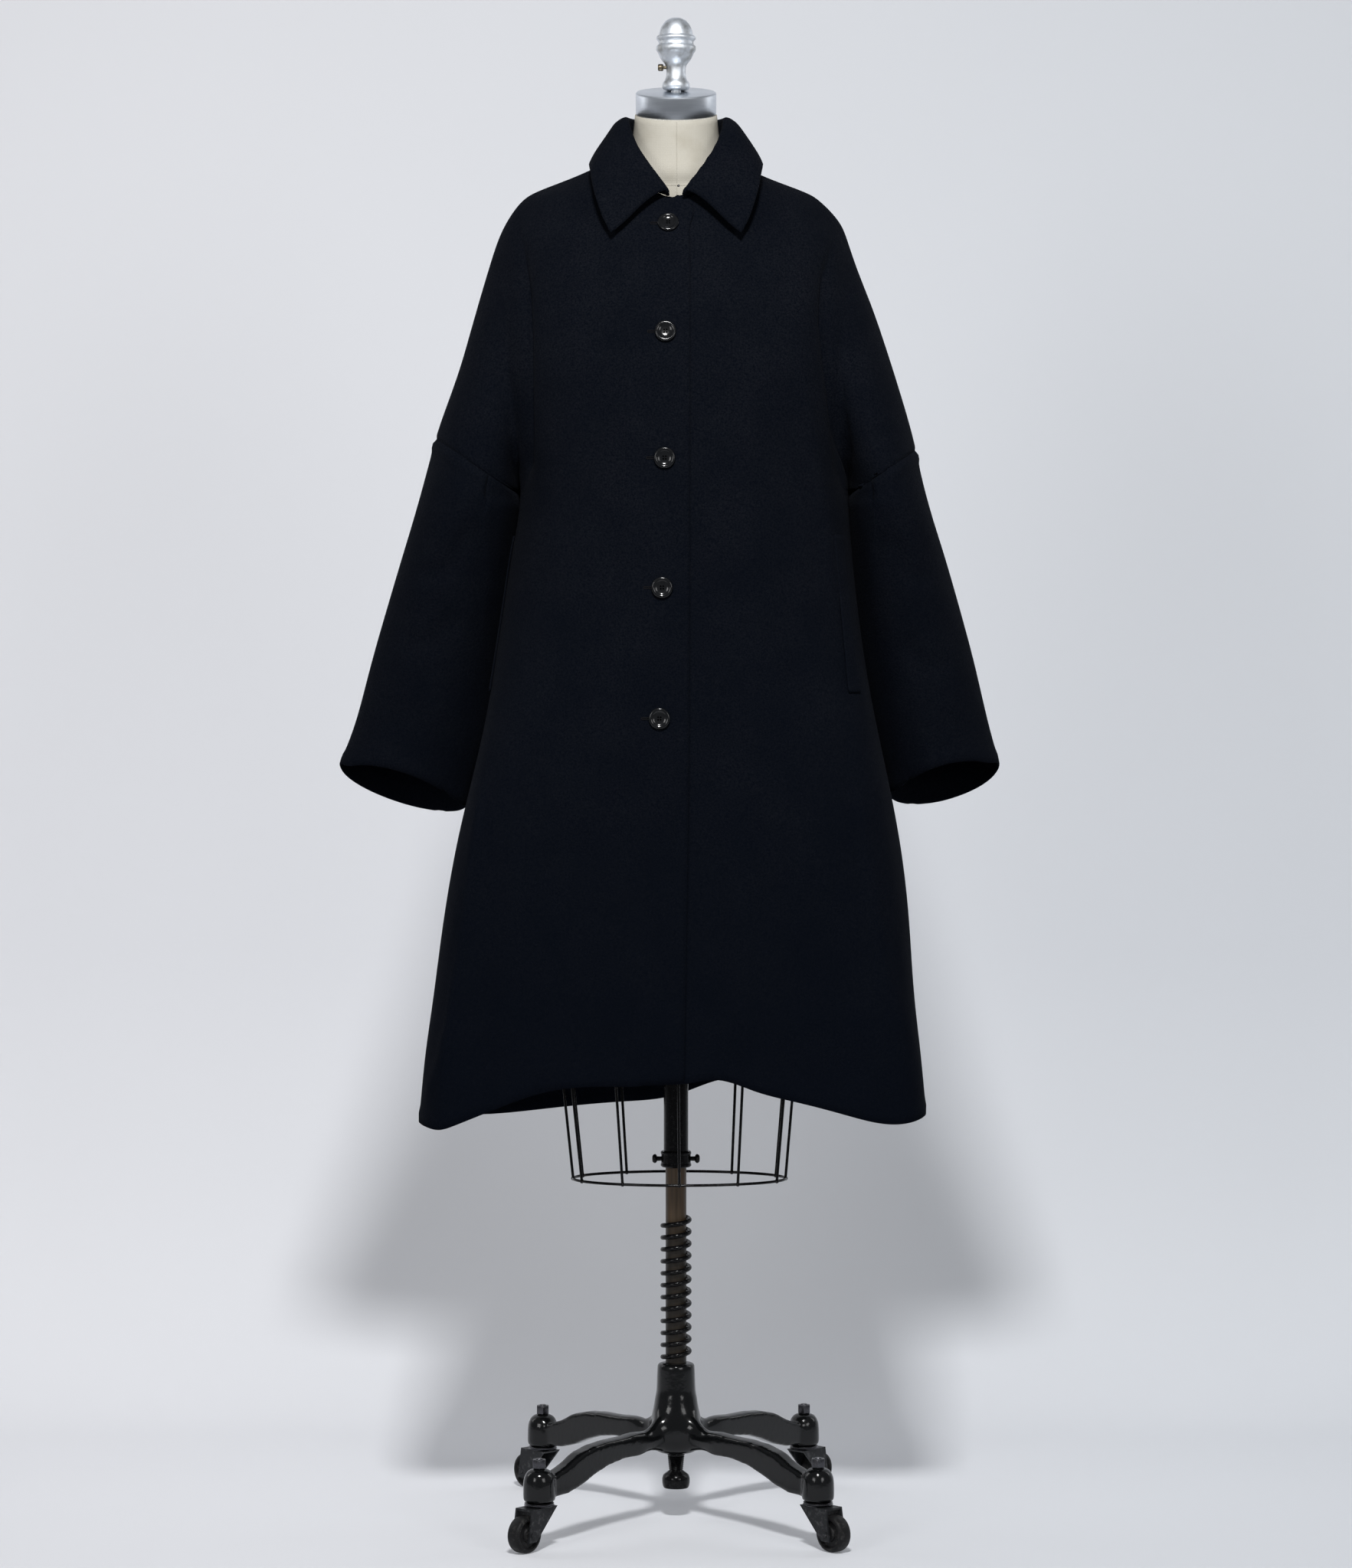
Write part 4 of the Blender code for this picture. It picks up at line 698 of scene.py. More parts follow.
def wire_mesh(name, points, radius, closed=False, sides=4):
    """A round wire along points."""
    data = bpy.data.curves.new(name, "CURVE")
    data.dimensions = "3D"
    data.bevel_depth = radius
    data.bevel_resolution = sides
    data.use_fill_caps = not closed
    spline = data.splines.new("POLY")
    spline.points.add(len(points) - 1)
    for target, point in zip(spline.points, points):
        target.co = (*point, 1.0)
    spline.use_cyclic_u = closed
    holder = bpy.data.objects.new(name, data)
    bpy.context.scene.collection.objects.link(holder)
    graph = bpy.context.evaluated_depsgraph_get()
    mesh = bpy.data.meshes.new_from_object(holder.evaluated_get(graph), depsgraph=graph)
    bpy.data.objects.remove(holder)
    bpy.data.curves.remove(data)
    made = bmesh.new()
    made.from_mesh(mesh)
    bmesh.ops.remove_doubles(made, verts=made.verts, dist=MERGE)
    bmesh.ops.recalc_face_normals(made, faces=made.faces)
    made.to_mesh(mesh)
    made.free()
    return mesh


def ends_of(node):
    """The middles of a straight wire's low and high end."""
    points = np.array([vert.co for vert in NODES[node].data.vertices])
    low = points[points[:, 2] < points[:, 2].min() + 0.002].mean(axis=0)
    high = points[points[:, 2] > points[:, 2].max() - 0.002].mean(axis=0)
    return Vector(low), Vector(high)


def islands(faces):
    """Faces in groups that share edges."""
    left = set(faces)
    groups = []
    while left:
        stack = [left.pop()]
        group = []
        while stack:
            face = stack.pop()
            group.append(face)
            for edge in face.edges:
                for other in edge.link_faces:
                    if other in left:
                        left.remove(other)
                        stack.append(other)
        groups.append(group)
    return groups


def outer_sheet(node, wall, levels, lid=None):
    """The outer face of a packed wall as a smooth sheet, without its rim, its inner face and any lid."""
    made = merged_copy(node)
    if lid:
        top = max(vert.co.dot(lid) for vert in made.verts)
        level = [face for face in made.faces if face.normal.dot(lid) > 0.99]
        lids = [face for face in level if top - face.calc_center_median().dot(lid) < MERGE]
        bmesh.ops.delete(made, geom=lids, context="FACES")
    across = [edge for edge in made.edges if edge.calc_length() < RIM_SHARE * wall]
    rim = {face for edge in across for face in edge.link_faces}
    groups = islands(set(made.faces) - rim)
    kept = set(max(groups, key=lambda group: sum(face.calc_area() for face in group)))
    border = list(kept)
    while border:
        face = border.pop()
        beside = {other for edge in face.edges for other in edge.link_faces} & (rim - kept)
        flush = [other for other in beside if face.normal.dot(other.normal) > FLUSH]
        kept.update(flush)
        border += flush
    bmesh.ops.delete(made, geom=[face for face in made.faces if face not in kept], context="FACES")
    bmesh.ops.join_triangles(
        made, faces=made.faces, angle_face_threshold=math.pi, angle_shape_threshold=math.pi
    )
    crease = made.edges.layers.float.new("crease_edge")
    for edge in made.edges:
        if len(edge.link_faces) == 2 and edge.calc_face_angle_signed(0.0) < CONCAVE:
            edge[crease] = INNER_CREASE
    coarse = mesh_from(made, node)
    aim = arrays(coarse)[0]
    for _ in range(FITTING_ROUNDS):
        trial = subdivided(coarse, 1)
        drift = aim - arrays(trial)[0][: len(aim)]
        bpy.data.meshes.remove(trial)
        coarse.vertices.foreach_set("co", (arrays(coarse)[0] + drift).ravel())
        coarse.update()
    return subdivided(coarse, levels)


def subdivided(mesh, levels):
    """A mesh on its smooth limit surface. The points that it had come first."""
    settings = {"levels": levels, "render_levels": levels, "boundary_smooth": "PRESERVE_CORNERS"}
    return applied(mesh, ("SUBSURF", settings))


def arrays(mesh):
    """A mesh's points and normals."""
    count = len(mesh.vertices)
    points = np.zeros(count * 3)
    normals = np.zeros(count * 3)
    mesh.vertices.foreach_get("co", points)
    mesh.vertex_normals.foreach_get("vector", normals)
    return points.reshape(-1, 3), normals.reshape(-1, 3)


def boundary(mesh):
    """The numbers of the points on a sheet's edge."""
    uses = {}
    for polygon in mesh.polygons:
        for pair in polygon.edge_keys:
            uses[pair] = uses.get(pair, 0) + 1
    return sorted({index for pair, count in uses.items() if count == 1 for index in pair})


def distances(points, targets):
    """How far each point is from the nearest target."""
    tree = kdtree.KDTree(len(targets))
    for index, target in enumerate(targets):
        tree.insert(target, index)
    tree.balance()
    return np.array([tree.find(point)[2] for point in points])


def crease_lift(points, normals, crease):
    """How far a crease lifts each point: a bell across its line that fades towards the ends."""
    line = np.array(crease["line"])
    spans = np.diff(line, axis=0)
    lengths = np.linalg.norm(spans, axis=1)
    starts = np.concatenate([[0.0], np.cumsum(lengths)])
    flat = points[:, [0, 2]]
    best = np.full(len(points), np.inf)
    along = np.zeros(len(points))
    for start, span, size, before in zip(line, spans, lengths, starts):
        t = np.clip(((flat - start) @ span) / size**2, 0.0, 1.0)
        away = np.linalg.norm(flat - (start + t[:, None] * span), axis=1)
        nearer = away < best
        best = np.where(nearer, away, best)
        along = np.where(nearer, (before + t * size) / starts[-1], along)
    facing = smooth(0.05, 0.45, normals @ np.array(crease["way"]))
    ends = smooth(0.0, 0.30, along) * smooth(0.0, 0.16, 1.0 - along)
    across = best / crease["half_width"]
    bell = np.exp(-across) if crease.get("sharp") else np.exp(-(across**2))
    return crease["rise"] * bell * ends * facing


def wander(points, size):
    """Slow unevenness of hung cloth, from -1 to 1, longer up and down than across."""
    stretch = Vector((1 / size, 1 / size, 0.35 / size))
    return np.array([noise.noise(Vector(point) * stretch) for point in points])


def draped(mesh, points, normals, sewn, free, creases, extra=0.0):
    """Moves a sheet's points for its seams, its turned edges, its creases and the cloth's slow unevenness."""
    looks = bpy.context.scene.coat_looks
    lift = looks.unevenness * wander(points, WANDER_SIZE)
    if len(free):
        edge = distances(points, free)
        lift *= smooth(0.0, WANDER_FADE, edge)
        lift += looks.edge_swell * np.exp(-(((edge - SWELL_INSET) / SWELL_SPREAD) ** 2))
    if len(sewn):
        seam = distances(points, sewn)
        lift *= smooth(0.0, WANDER_FADE, seam)
        upper = smooth(UNDERARM_Z - 0.03, UNDERARM_Z, points[:, 2])
        depth = looks.seam_depth * (LOW_SEAM_SHARE + (1 - LOW_SEAM_SHARE) * upper)
        lift -= depth * np.exp(-((seam / looks.seam_width) ** 2))
    for crease in creases:
        lift += crease_lift(points, normals, crease)
    lift = lift + extra
    moved = points + normals * lift[:, None]
    mesh.vertices.foreach_set("co", moved.ravel())
    mesh.update()


def rim_edges(mesh):
    """The edges around a sheet, each in the direction in which its face runs along it."""
    ways = {}
    for polygon in mesh.polygons:
        corners = list(polygon.vertices)
        for start, end in zip(corners, corners[1:] + corners[:1]):
            ways[start, end] = polygon
    return {pair: polygon for pair, polygon in ways.items() if pair[::-1] not in ways}


def walled(mesh, thickness, normals, sewn=()):
    """A sheet with an inner face and a rim, which is round where it is free and plain where it is sewn."""
    points = arrays(mesh)[0]
    rim = rim_edges(mesh)
    outward = np.zeros_like(points)
    for (start, end), polygon in rim.items():
        way = np.cross(points[end] - points[start], polygon.normal)
        outward[[start, end]] += way / max(np.linalg.norm(way), 1e-12)
    numbers = sorted({number for pair in rim for number in pair})
    sizes = np.maximum(np.linalg.norm(outward[numbers], axis=1, keepdims=True), 1e-9)
    outward[numbers] /= sizes
    outward[list(sewn)] = 0.0
    count = len(points)
    middle = {number: 2 * count + place for place, number in enumerate(numbers)}
    half = thickness / 2
    swollen = points[numbers] - half * normals[numbers] + RIM_ROUND * half * outward[numbers]
    verts = np.concatenate([points, points - thickness * normals, swollen])
    faces = [list(polygon.vertices) for polygon in mesh.polygons]
    faces += [[number + count for number in reversed(face)] for face in faces]
    for start, end in rim:
        faces.append([end, start, middle[start], middle[end]])
        faces.append([middle[end], middle[start], start + count, end + count])
    made = bpy.data.meshes.new(mesh.name)
    made.from_pydata(verts.tolist(), [], faces)
    made.update()
    return made


def sewn_together(shapes, edges):
    """Brings the edges that sheets share to one line with one normal. Returns each sheet's sewn points."""
    tree = kdtree.KDTree(sum(len(numbers) for numbers in edges.values()))
    owners = []
    for name, numbers in edges.items():
        for number in numbers:
            tree.insert(shapes[name][0][number], len(owners))
            owners.append((name, number))
    tree.balance()
    sewn = {name: [] for name in edges}
    moves = []
    for name, number in owners:
        near = [owners[index] for _, index, _ in tree.find_range(shapes[name][0][number], SEAM_REACH)]
        closest = {}
        for owner in near:
            gap = np.linalg.norm(shapes[owner[0]][0][owner[1]] - shapes[name][0][number])
            if owner[0] not in closest or gap < closest[owner[0]][0]:
                closest[owner[0]] = (gap, owner[1])
        if len(closest) < 2:
            continue
        closest[name] = (0.0, number)
        place = np.mean([shapes[other][0][index] for other, (_, index) in closest.items()], axis=0)
        normal = np.sum([shapes[other][1][index] for other, (_, index) in closest.items()], axis=0)
        moves.append((name, number, place, normal / np.linalg.norm(normal)))
        sewn[name].append(number)
    for name, number, place, normal in moves:
        shapes[name][0][number] = place
        shapes[name][1][number] = normal
    return sewn


class PieceOperator:
    """What the operators share."""

    bl_options = {"REGISTER", "UNDO"}

    def execute(self, context):
        self.make()
        return {"FINISHED"}


class COAT_OT_panels(PieceOperator, bpy.types.Operator):
    """Makes the fronts, the back and the sleeves as hung sheets of wool"""

    bl_idname = "coat.panels"
    bl_label = "Fronts, back and sleeves"

    def make(self):
        looks = bpy.context.scene.coat_looks
        sheets = {name: outer_sheet(name, looks.wall, CLOTH_LEVELS) for name in PANELS}
        shapes = {name: arrays(mesh) for name, mesh in sheets.items()}
        edges = {name: boundary(mesh) for name, mesh in sheets.items()}
        seams = sewn_together(shapes, edges)
        for name, mesh in sheets.items():
            points, normals = shapes[name]
            if "sleeve" in name:
                points[:, 2] -= self.cuff_drop(points, normals)
            sewn = points[seams[name]]
            free = points[sorted(set(edges[name]) - set(seams[name]))]
            creases = [crease for crease in CREASES if crease["on"] == name]
            if name == "front_right":
                creases.append(dict(way=FRONT_WAY, line=PLACKET_LINE, half_width=0.0065, rise=0.0012))
            draped(mesh, points, normals, sewn, free, creases, self.arm_shape(name, points, normals, sewn))
            faced = arrays(mesh)[1]
            faced[seams[name]] = normals[seams[name]]
            wall = walled(mesh, looks.wall, faced, seams[name])
            piece = add_piece(f"wool_{name}", wall, "wool", "form", "wool", name, sharp=CLOTH_SHARP)

    def cuff_drop(self, points, normals):
        """How much lower a cuff hangs in front."""
        return CUFF_DROP * smooth(*CUFF_LEVELS, points[:, 2]) * smooth(-0.1, 0.7, -normals[:, 1])

    def arm_shape(self, name, points, normals, sewn):
        """A sleeve lies against the body under the arm, and steps out just below the dropped seam."""
        if "sleeve" not in name:
            return 0.0
        side = -1.0 if name.endswith("right") else 1.0
        inner = smooth(0.2, 0.8, -side * normals[:, 0])
        level = points[:, 2]
        lift = ARM_HUG * inner * smooth(0.98, 1.12, level) * smooth(0.0, 0.012, UNDERARM_Z - level)
        if "top" in name:
            below = distances(points, sewn[sewn[:, 2] > UNDERARM_Z])
            lift += SEAM_STEP * np.exp(-(((below - 0.008) / 0.006) ** 2))
        return lift


class COAT_OT_collar(PieceOperator, bpy.types.Operator):
    """Makes the folded point collar"""

    bl_idname = "coat.collar"
    bl_label = "Collar"

    def make(self):
        looks = bpy.context.scene.coat_looks
        mesh = outer_sheet("collar", looks.wall, CLOTH_LEVELS)
        points, normals = arrays(mesh)
        draped(mesh, points, normals, (), points[boundary(mesh)], ())
        mesh = self.softened(mesh)
        wall = walled(mesh, COLLAR_WALL, arrays(mesh)[1])
        piece = add_piece("wool_collar", wall, "wool", "form", "wool", "collar", sharp=CLOTH_SHARP)

    def softened(self, mesh):
        """The collar with a rounder roll and outline. Edge points follow the edge only, so it stays wide."""
        rim = {tuple(sorted(pair)) for pair in rim_edges(mesh)}
        on_rim = {number for pair in rim for number in pair}
        links = []
        for edge in mesh.edges:
            pair = tuple(sorted(edge.vertices))
            links += [way for way in (pair, pair[::-1]) if way[0] not in on_rim or pair in rim]
        links = np.array(links)
        start = arrays(mesh)[0]
        points = start.copy()
        count = np.bincount(links[:, 0], minlength=len(points))[:, None]
        for _ in range(COLLAR_SOFTENING):
            total = np.zeros_like(points)
            np.add.at(total, links[:, 0], points[links[:, 1]])
            points += 0.5 * (total / count - points)
        share = np.ones(len(points))
        for x, z in COLLAR_CORNERS:
            for side in (-1, 1):
                away = np.hypot(start[:, 0] - side * x, start[:, 2] - z)
                share *= CORNER_GIVE + (1 - CORNER_GIVE) * smooth(0.0, CORNER_REACH, away)
        points = start + share[:, None] * (points - start)
        mesh.vertices.foreach_set("co", points.ravel())
        mesh.update()
        return mesh


class COAT_OT_welts(PieceOperator, bpy.types.Operator):
    """Makes the pocket welts"""

    bl_idname = "coat.welts"
    bl_label = "Pocket welts"

    def make(self):
        for side in ("right", "left"):
            node = f"pocket_welt_{side}"
            mesh = outer_sheet(node, WELT_WALL, CLOTH_LEVELS)
            wall = walled(mesh, WELT_WALL, arrays(mesh)[1])
            piece = add_piece(f"wool_{node}", wall, "wool", "form", "wool", node, sharp=CLOTH_SHARP)


# Button: radius and height, from the middle of its dished front to the middle of its back
BUTTON_PROFILE = (
    (0.0, 0.0024), (0.0040, 0.0025), (0.0070, 0.0028), (0.0083, 0.0035), (0.0094, 0.0042), (0.0106, 0.0044),
    (0.0117, 0.0041), (0.0124, 0.0033), (0.0125, 0.0025), (0.0118, 0.0012), (0.0102, 0.0002), (0.0, 0.0)
)
HOLE_RADIUS = 0.00105
HOLE_PLACE = 0.0021
THREAD_RADIUS = 0.00045
BUTTONHOLE_LENGTH = 0.026
BUTTONHOLE_RADIUS = 0.0008


def button_frame(node):
    """Where a button lies: its back's middle, with its Z axis out of its face."""
    points = np.array([vert.co for vert in NODES[node].data.vertices])
    middle = points.mean(axis=0)
    axis = np.linalg.svd(points - middle)[2][2]
    if axis[1] > 0:
        axis = -axis
    depth = ((points - middle) @ axis).min()
    return Matrix.Translation(Vector(middle + axis * depth)) @ towards(axis)


def stitch(matrix, turn):
    """A flattened loop of thread between two holes of a button."""
    made = bmesh.new()
    bmesh.ops.create_circle(
        made, segments=8, radius=THREAD_RADIUS,
        matrix=Matrix.Translation((HOLE_PLACE, 0.0, 0.0)) @ Matrix.Rotation(math.pi / 2, 4, "X")
    )
    quarter = Matrix.Rotation(math.pi / 2, 3, "X")
    for middle in (0, HOLE_PLACE):
        bmesh.ops.rotate(made, verts=made.verts, cent=(middle, 0, 0), matrix=quarter)
    bmesh.ops.spin(
        made, geom=made.verts[:] + made.edges[:], cent=(0, 0, 0), axis=(0, -1, 0), angle=math.pi, steps=10
    )
    bmesh.ops.scale(made, vec=(1.0, 1.0, 0.45), verts=made.verts)
    bmesh.ops.holes_fill(made, edges=made.edges)
    bmesh.ops.recalc_face_normals(made, faces=made.faces)
    face = Matrix.Translation((0.0, 0.0, BUTTON_PROFILE[0][1]))
    bmesh.ops.transform(made, matrix=matrix @ face @ Matrix.Rotation(turn, 4, "Z"), verts=made.verts)
    return made


class COAT_OT_buttons(PieceOperator, bpy.types.Operator):
    """Makes the four-hole buttons and the thread that holds them"""

    bl_idname = "coat.buttons"
    bl_label = "Buttons"

    def make(self):
        cutter = bmesh.new()
        for turn in range(4):
            spot = Matrix.Rotation(math.pi / 4 + turn * math.pi / 2, 4, "Z")
            spot = spot @ Matrix.Translation((HOLE_PLACE, 0.0, 0.002))
            bmesh.ops.create_cone(
                cutter, cap_ends=True, segments=14, radius1=HOLE_RADIUS, radius2=HOLE_RADIUS, depth=0.02,
                matrix=spot
            )
        holes = bpy.data.objects.new("button_holes", mesh_from(cutter, "button_holes"))
        bpy.context.scene.collection.objects.link(holes)
        blank = mesh_from(turned(BUTTON_PROFILE, 48), "button")
        drilled = applied(blank, ("BOOLEAN", {"operation": "DIFFERENCE", "solver": "EXACT", "object": holes}))
        bpy.data.objects.remove(holes)
        for number in range(1, 6):
            node = f"button_{number}"
            matrix = button_frame(node)
            mesh = drilled.copy()
            mesh.transform(matrix)
            add_piece(f"horn_{node}", mesh, "horn", "form", "button_horn", node)
            thread = bmesh.new()
            for turn in (math.pi / 4, -math.pi / 4):
                loop = mesh_from(stitch(matrix, turn), "stitch")
                thread.from_mesh(loop)
                bpy.data.meshes.remove(loop)
            add_piece(f"thread_{node}", mesh_from(thread, "thread"), "thread", "form", "button_horn")


class COAT_OT_buttonholes(PieceOperator, bpy.types.Operator):
    """Makes the corded buttonholes beside the buttons"""

    bl_idname = "coat.buttonholes"
    bl_label = "Buttonholes"

    def make(self):
        graph = bpy.context.evaluated_depsgraph_get()
        cloth = BVHTree.FromObject(bpy.data.objects["wool_front_right"], graph)
        for number in range(1, 6):
            middle = button_frame(f"button_{number}").translation
            path = []
            for step in range(40):
                angle = 2 * math.pi * step / 40
                x = BUTTONHOLE_RADIUS * 1.3 * math.cos(angle)
                x += -BUTTONHOLE_LENGTH / 2 * (1 - math.copysign(1, math.cos(angle)))
                z = BUTTONHOLE_RADIUS * 1.3 * math.sin(angle)
                path.append(Vector((middle.x + 0.006 + x, -1.0, middle.z + z)))
            hits = [cloth.ray_cast(point, BACK_WAY)[0] for point in path]
            if None in hits:
                raise RuntimeError("a buttonhole misses the front")
            mesh = wire_mesh("buttonhole", hits, BUTTONHOLE_RADIUS, True, 2)
            add_piece(f"buttonhole_{number}", mesh, "thread", "form", "wool")


# Dress form
COVER_GAP = 0.006  # how far the canvas stays inside the coat
COVERED_SIDES = (1.615, 1.590)  # levels over which the coat covers it, at the sides and behind
COVERED_FRONT = (1.580, 1.560)  # and in the open neck
CAP_TILT = math.radians(14.0)
CAP_TOP = Vector((0.0, 0.0, 1.7159))
CAP_AXIS = Vector((0.0, -math.sin(CAP_TILT), math.cos(CAP_TILT)))
CAP_RADIUS = 0.0482
CAP_HEIGHT = 0.0275
FINIAL_PROFILE = (
    (0.0, 0.0886), (0.0045, 0.0882), (0.0086, 0.0869), (0.0122, 0.0846), (0.0152, 0.0813),
    (0.0176, 0.0774), (0.0193, 0.0732), (0.0202, 0.0690), (0.0204, 0.0676), (0.0222, 0.0667),
    (0.0233, 0.0655), (0.0237, 0.0640), (0.0233, 0.0625), (0.0221, 0.0611), (0.0210, 0.0601),
    (0.0208, 0.0583), (0.0210, 0.0566), (0.0222, 0.0556), (0.0233, 0.0544), (0.0237, 0.0525),
    (0.0236, 0.0500), (0.0228, 0.0482), (0.0214, 0.0464), (0.0202, 0.0436), (0.0187, 0.0404),
    (0.0162, 0.0366), (0.0137, 0.0336), (0.0122, 0.0308), (0.0117, 0.0280), (0.0115, 0.0240),
    (0.0117, 0.0200), (0.0124, 0.0165), (0.0136, 0.0137), (0.0148, 0.0123), (0.0158, 0.0106),
    (0.0164, 0.0084), (0.0164, 0.0062), (0.0158, 0.0042), (0.0146, 0.0028), (0.0128, 0.0022),
    (0.0060, 0.0022), (0.0060, -0.0030), (0.0, -0.0030)
)


class FORM_OT_torso(PieceOperator, bpy.types.Operator):
    """Makes the canvas-covered form with its neck seams and a pin"""

    bl_idname = "coat.torso"
    bl_label = "Form"

    def make(self):
        looks = bpy.context.scene.form_looks
        mesh = outer_sheet("form_torso", looks.canvas_wall, 2, CAP_AXIS)
        points, normals = arrays(mesh)
        open_neck = smooth(0.075, 0.055, np.abs(points[:, 0])) * smooth(0.0, -0.03, points[:, 1])
        sides = smooth(*COVERED_SIDES, points[:, 2]) * (1 - open_neck)
        covered = np.maximum(sides, smooth(*COVERED_FRONT, points[:, 2]))
        points -= normals * (COVER_GAP * covered)[:, None]
        mesh.vertices.foreach_set("co", points.ravel())
        mesh.update()
        wall = walled(mesh, looks.canvas_wall, arrays(mesh)[1])
        piece = add_piece("canvas_form", wall, "canvas", "form", "canvas", "form_torso", sharp=CLOTH_SHARP)
        shell = BVHTree.FromObject(piece, bpy.context.evaluated_depsgraph_get())
        ring = []
        for step in range(NECK_SEAM_POINTS):
            angle = 2 * math.pi * step / NECK_SEAM_POINTS
            way = Vector((math.sin(angle), -math.cos(angle), 0.0))
            rise = (1 - math.cos(angle)) / 2
            height = NECK_SEAM_FRONT + (NECK_SEAM_BACK - NECK_SEAM_FRONT) * rise
            ring.append(self.touch(shell, way, height))
        seam = wire_mesh("neck_seam", ring, 0.0006, True, 2)
        add_piece("canvas_neck_seam", seam, "canvas", "form", "canvas")
        middle = []
        for height in np.linspace(1.575, 1.676, 24):
            middle.append(self.touch(shell, Vector((0.018, -1.0, 0.0)).normalized(), height))
        line = wire_mesh("middle_seam", middle, 0.0005, False, 2)
        add_piece("canvas_middle_seam", line, "canvas", "form", "canvas")
        pin = bmesh.new()
        bmesh.ops.create_uvsphere(pin, u_segments=16, v_segments=10, radius=0.0016)
        bmesh.ops.scale(pin, vec=(1.0, 0.7, 1.0), verts=pin.verts)
        spot = self.touch(shell, Vector((0.058, -1.0, 0.0)).normalized(), NECK_SEAM_FRONT - 0.0005)
        bmesh.ops.translate(pin, verts=pin.verts, vec=spot)
        add_piece("form_pin", mesh_from(pin, "form_pin"), "plating", "form", "dark_chrome")

    def touch(self, shell, way, height):
        """Where a level ray from outside meets the form."""
        start = way * 0.3 + Vector((0.0, 0.0, height))
        hit = shell.ray_cast(start, -way)[0]
        if hit is None:
            raise RuntimeError("a neck seam misses the form")
        return hit


class FORM_OT_cap(PieceOperator, bpy.types.Operator):
    """Makes the neck cap, the finial and its screw"""

    bl_idname = "coat.cap"
    bl_label = "Cap and finial"

    def make(self):
        lean = Matrix.Translation(CAP_TOP) @ Matrix.Rotation(CAP_TILT, 4, "X")
        edge = 0.0012
        cap = (
            (0.0, 0.0), (CAP_RADIUS - 3 * edge, 0.0), (CAP_RADIUS - edge, -0.3 * edge),
            (CAP_RADIUS, -1.5 * edge), (CAP_RADIUS, 1.5 * edge - CAP_HEIGHT),
            (CAP_RADIUS - edge, -CAP_HEIGHT), (0.0, -CAP_HEIGHT)
        )
        mesh = mesh_from(turned(cap, 96, lean), "cap")
        add_piece("aluminium_neck_cap", mesh, "brushed", "form", "cap_aluminium", "neck_cap")
        mesh = mesh_from(turned(FINIAL_PROFILE, 72, Matrix.Translation(CAP_TOP)), "finial")
        add_piece("aluminium_finial", mesh, "cast", "form", "cast_aluminium", "finial")
        low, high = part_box("finial_screw")
        root = 0.0032
        at = Matrix.Translation((high.x + root, (low.y + high.y) / 2, (low.z + high.z) / 2))
        reach = high.x - low.x + root
        screw = (
            (0.0, reach), (0.0030, reach), (0.0040, reach - 0.0008), (0.0042, reach - 0.0020),
            (0.0042, root + 0.0028), (0.0036, root + 0.0020), (0.0020, root + 0.0018), (0.0020, 0.0),
            (0.0, 0.0)
        )
        mesh = mesh_from(turned(screw, 24, at @ towards((-1.0, 0.0, 0.0))), "screw")
        add_piece("brass_finial_screw", mesh, "brass", "form", "brass", "finial_screw")


class FORM_OT_cage(PieceOperator, bpy.types.Operator):
    """Makes the wire cage below the form"""

    bl_idname = "coat.cage"
    bl_label = "Cage"

    def make(self):
        radius = bpy.context.scene.form_looks.wire
        low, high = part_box("cage_ring")
        middle = (low + high) / 2
        half = (high - low) / 2
        ring = []
        for step in range(96):
            angle = 2 * math.pi * step / 96
            x = middle.x + (half.x - radius) * math.sin(angle)
            ring.append((x, middle.y - (half.y - radius) * math.cos(angle), middle.z))
        mesh = wire_mesh("ring", ring, radius, True)
        add_piece("steel_cage_ring", mesh, "steel", "form", "black_steel", "cage_ring")
        for number in range(1, 13):
            node = f"cage_wire_{number:02d}"
            foot, top = ends_of(node)
            foot.z = middle.z
            mesh = wire_mesh("wire", [foot, top], radius)
            bead = bmesh.new()
            bead.from_mesh(mesh)
            ball = bmesh.ops.create_icosphere(bead, subdivisions=2, radius=radius * 1.6)["verts"]
            bmesh.ops.translate(bead, verts=ball, vec=foot)
            bead.to_mesh(mesh)
            bead.free()
            add_piece(f"steel_{node}", mesh, "steel", "form", "black_steel", node)


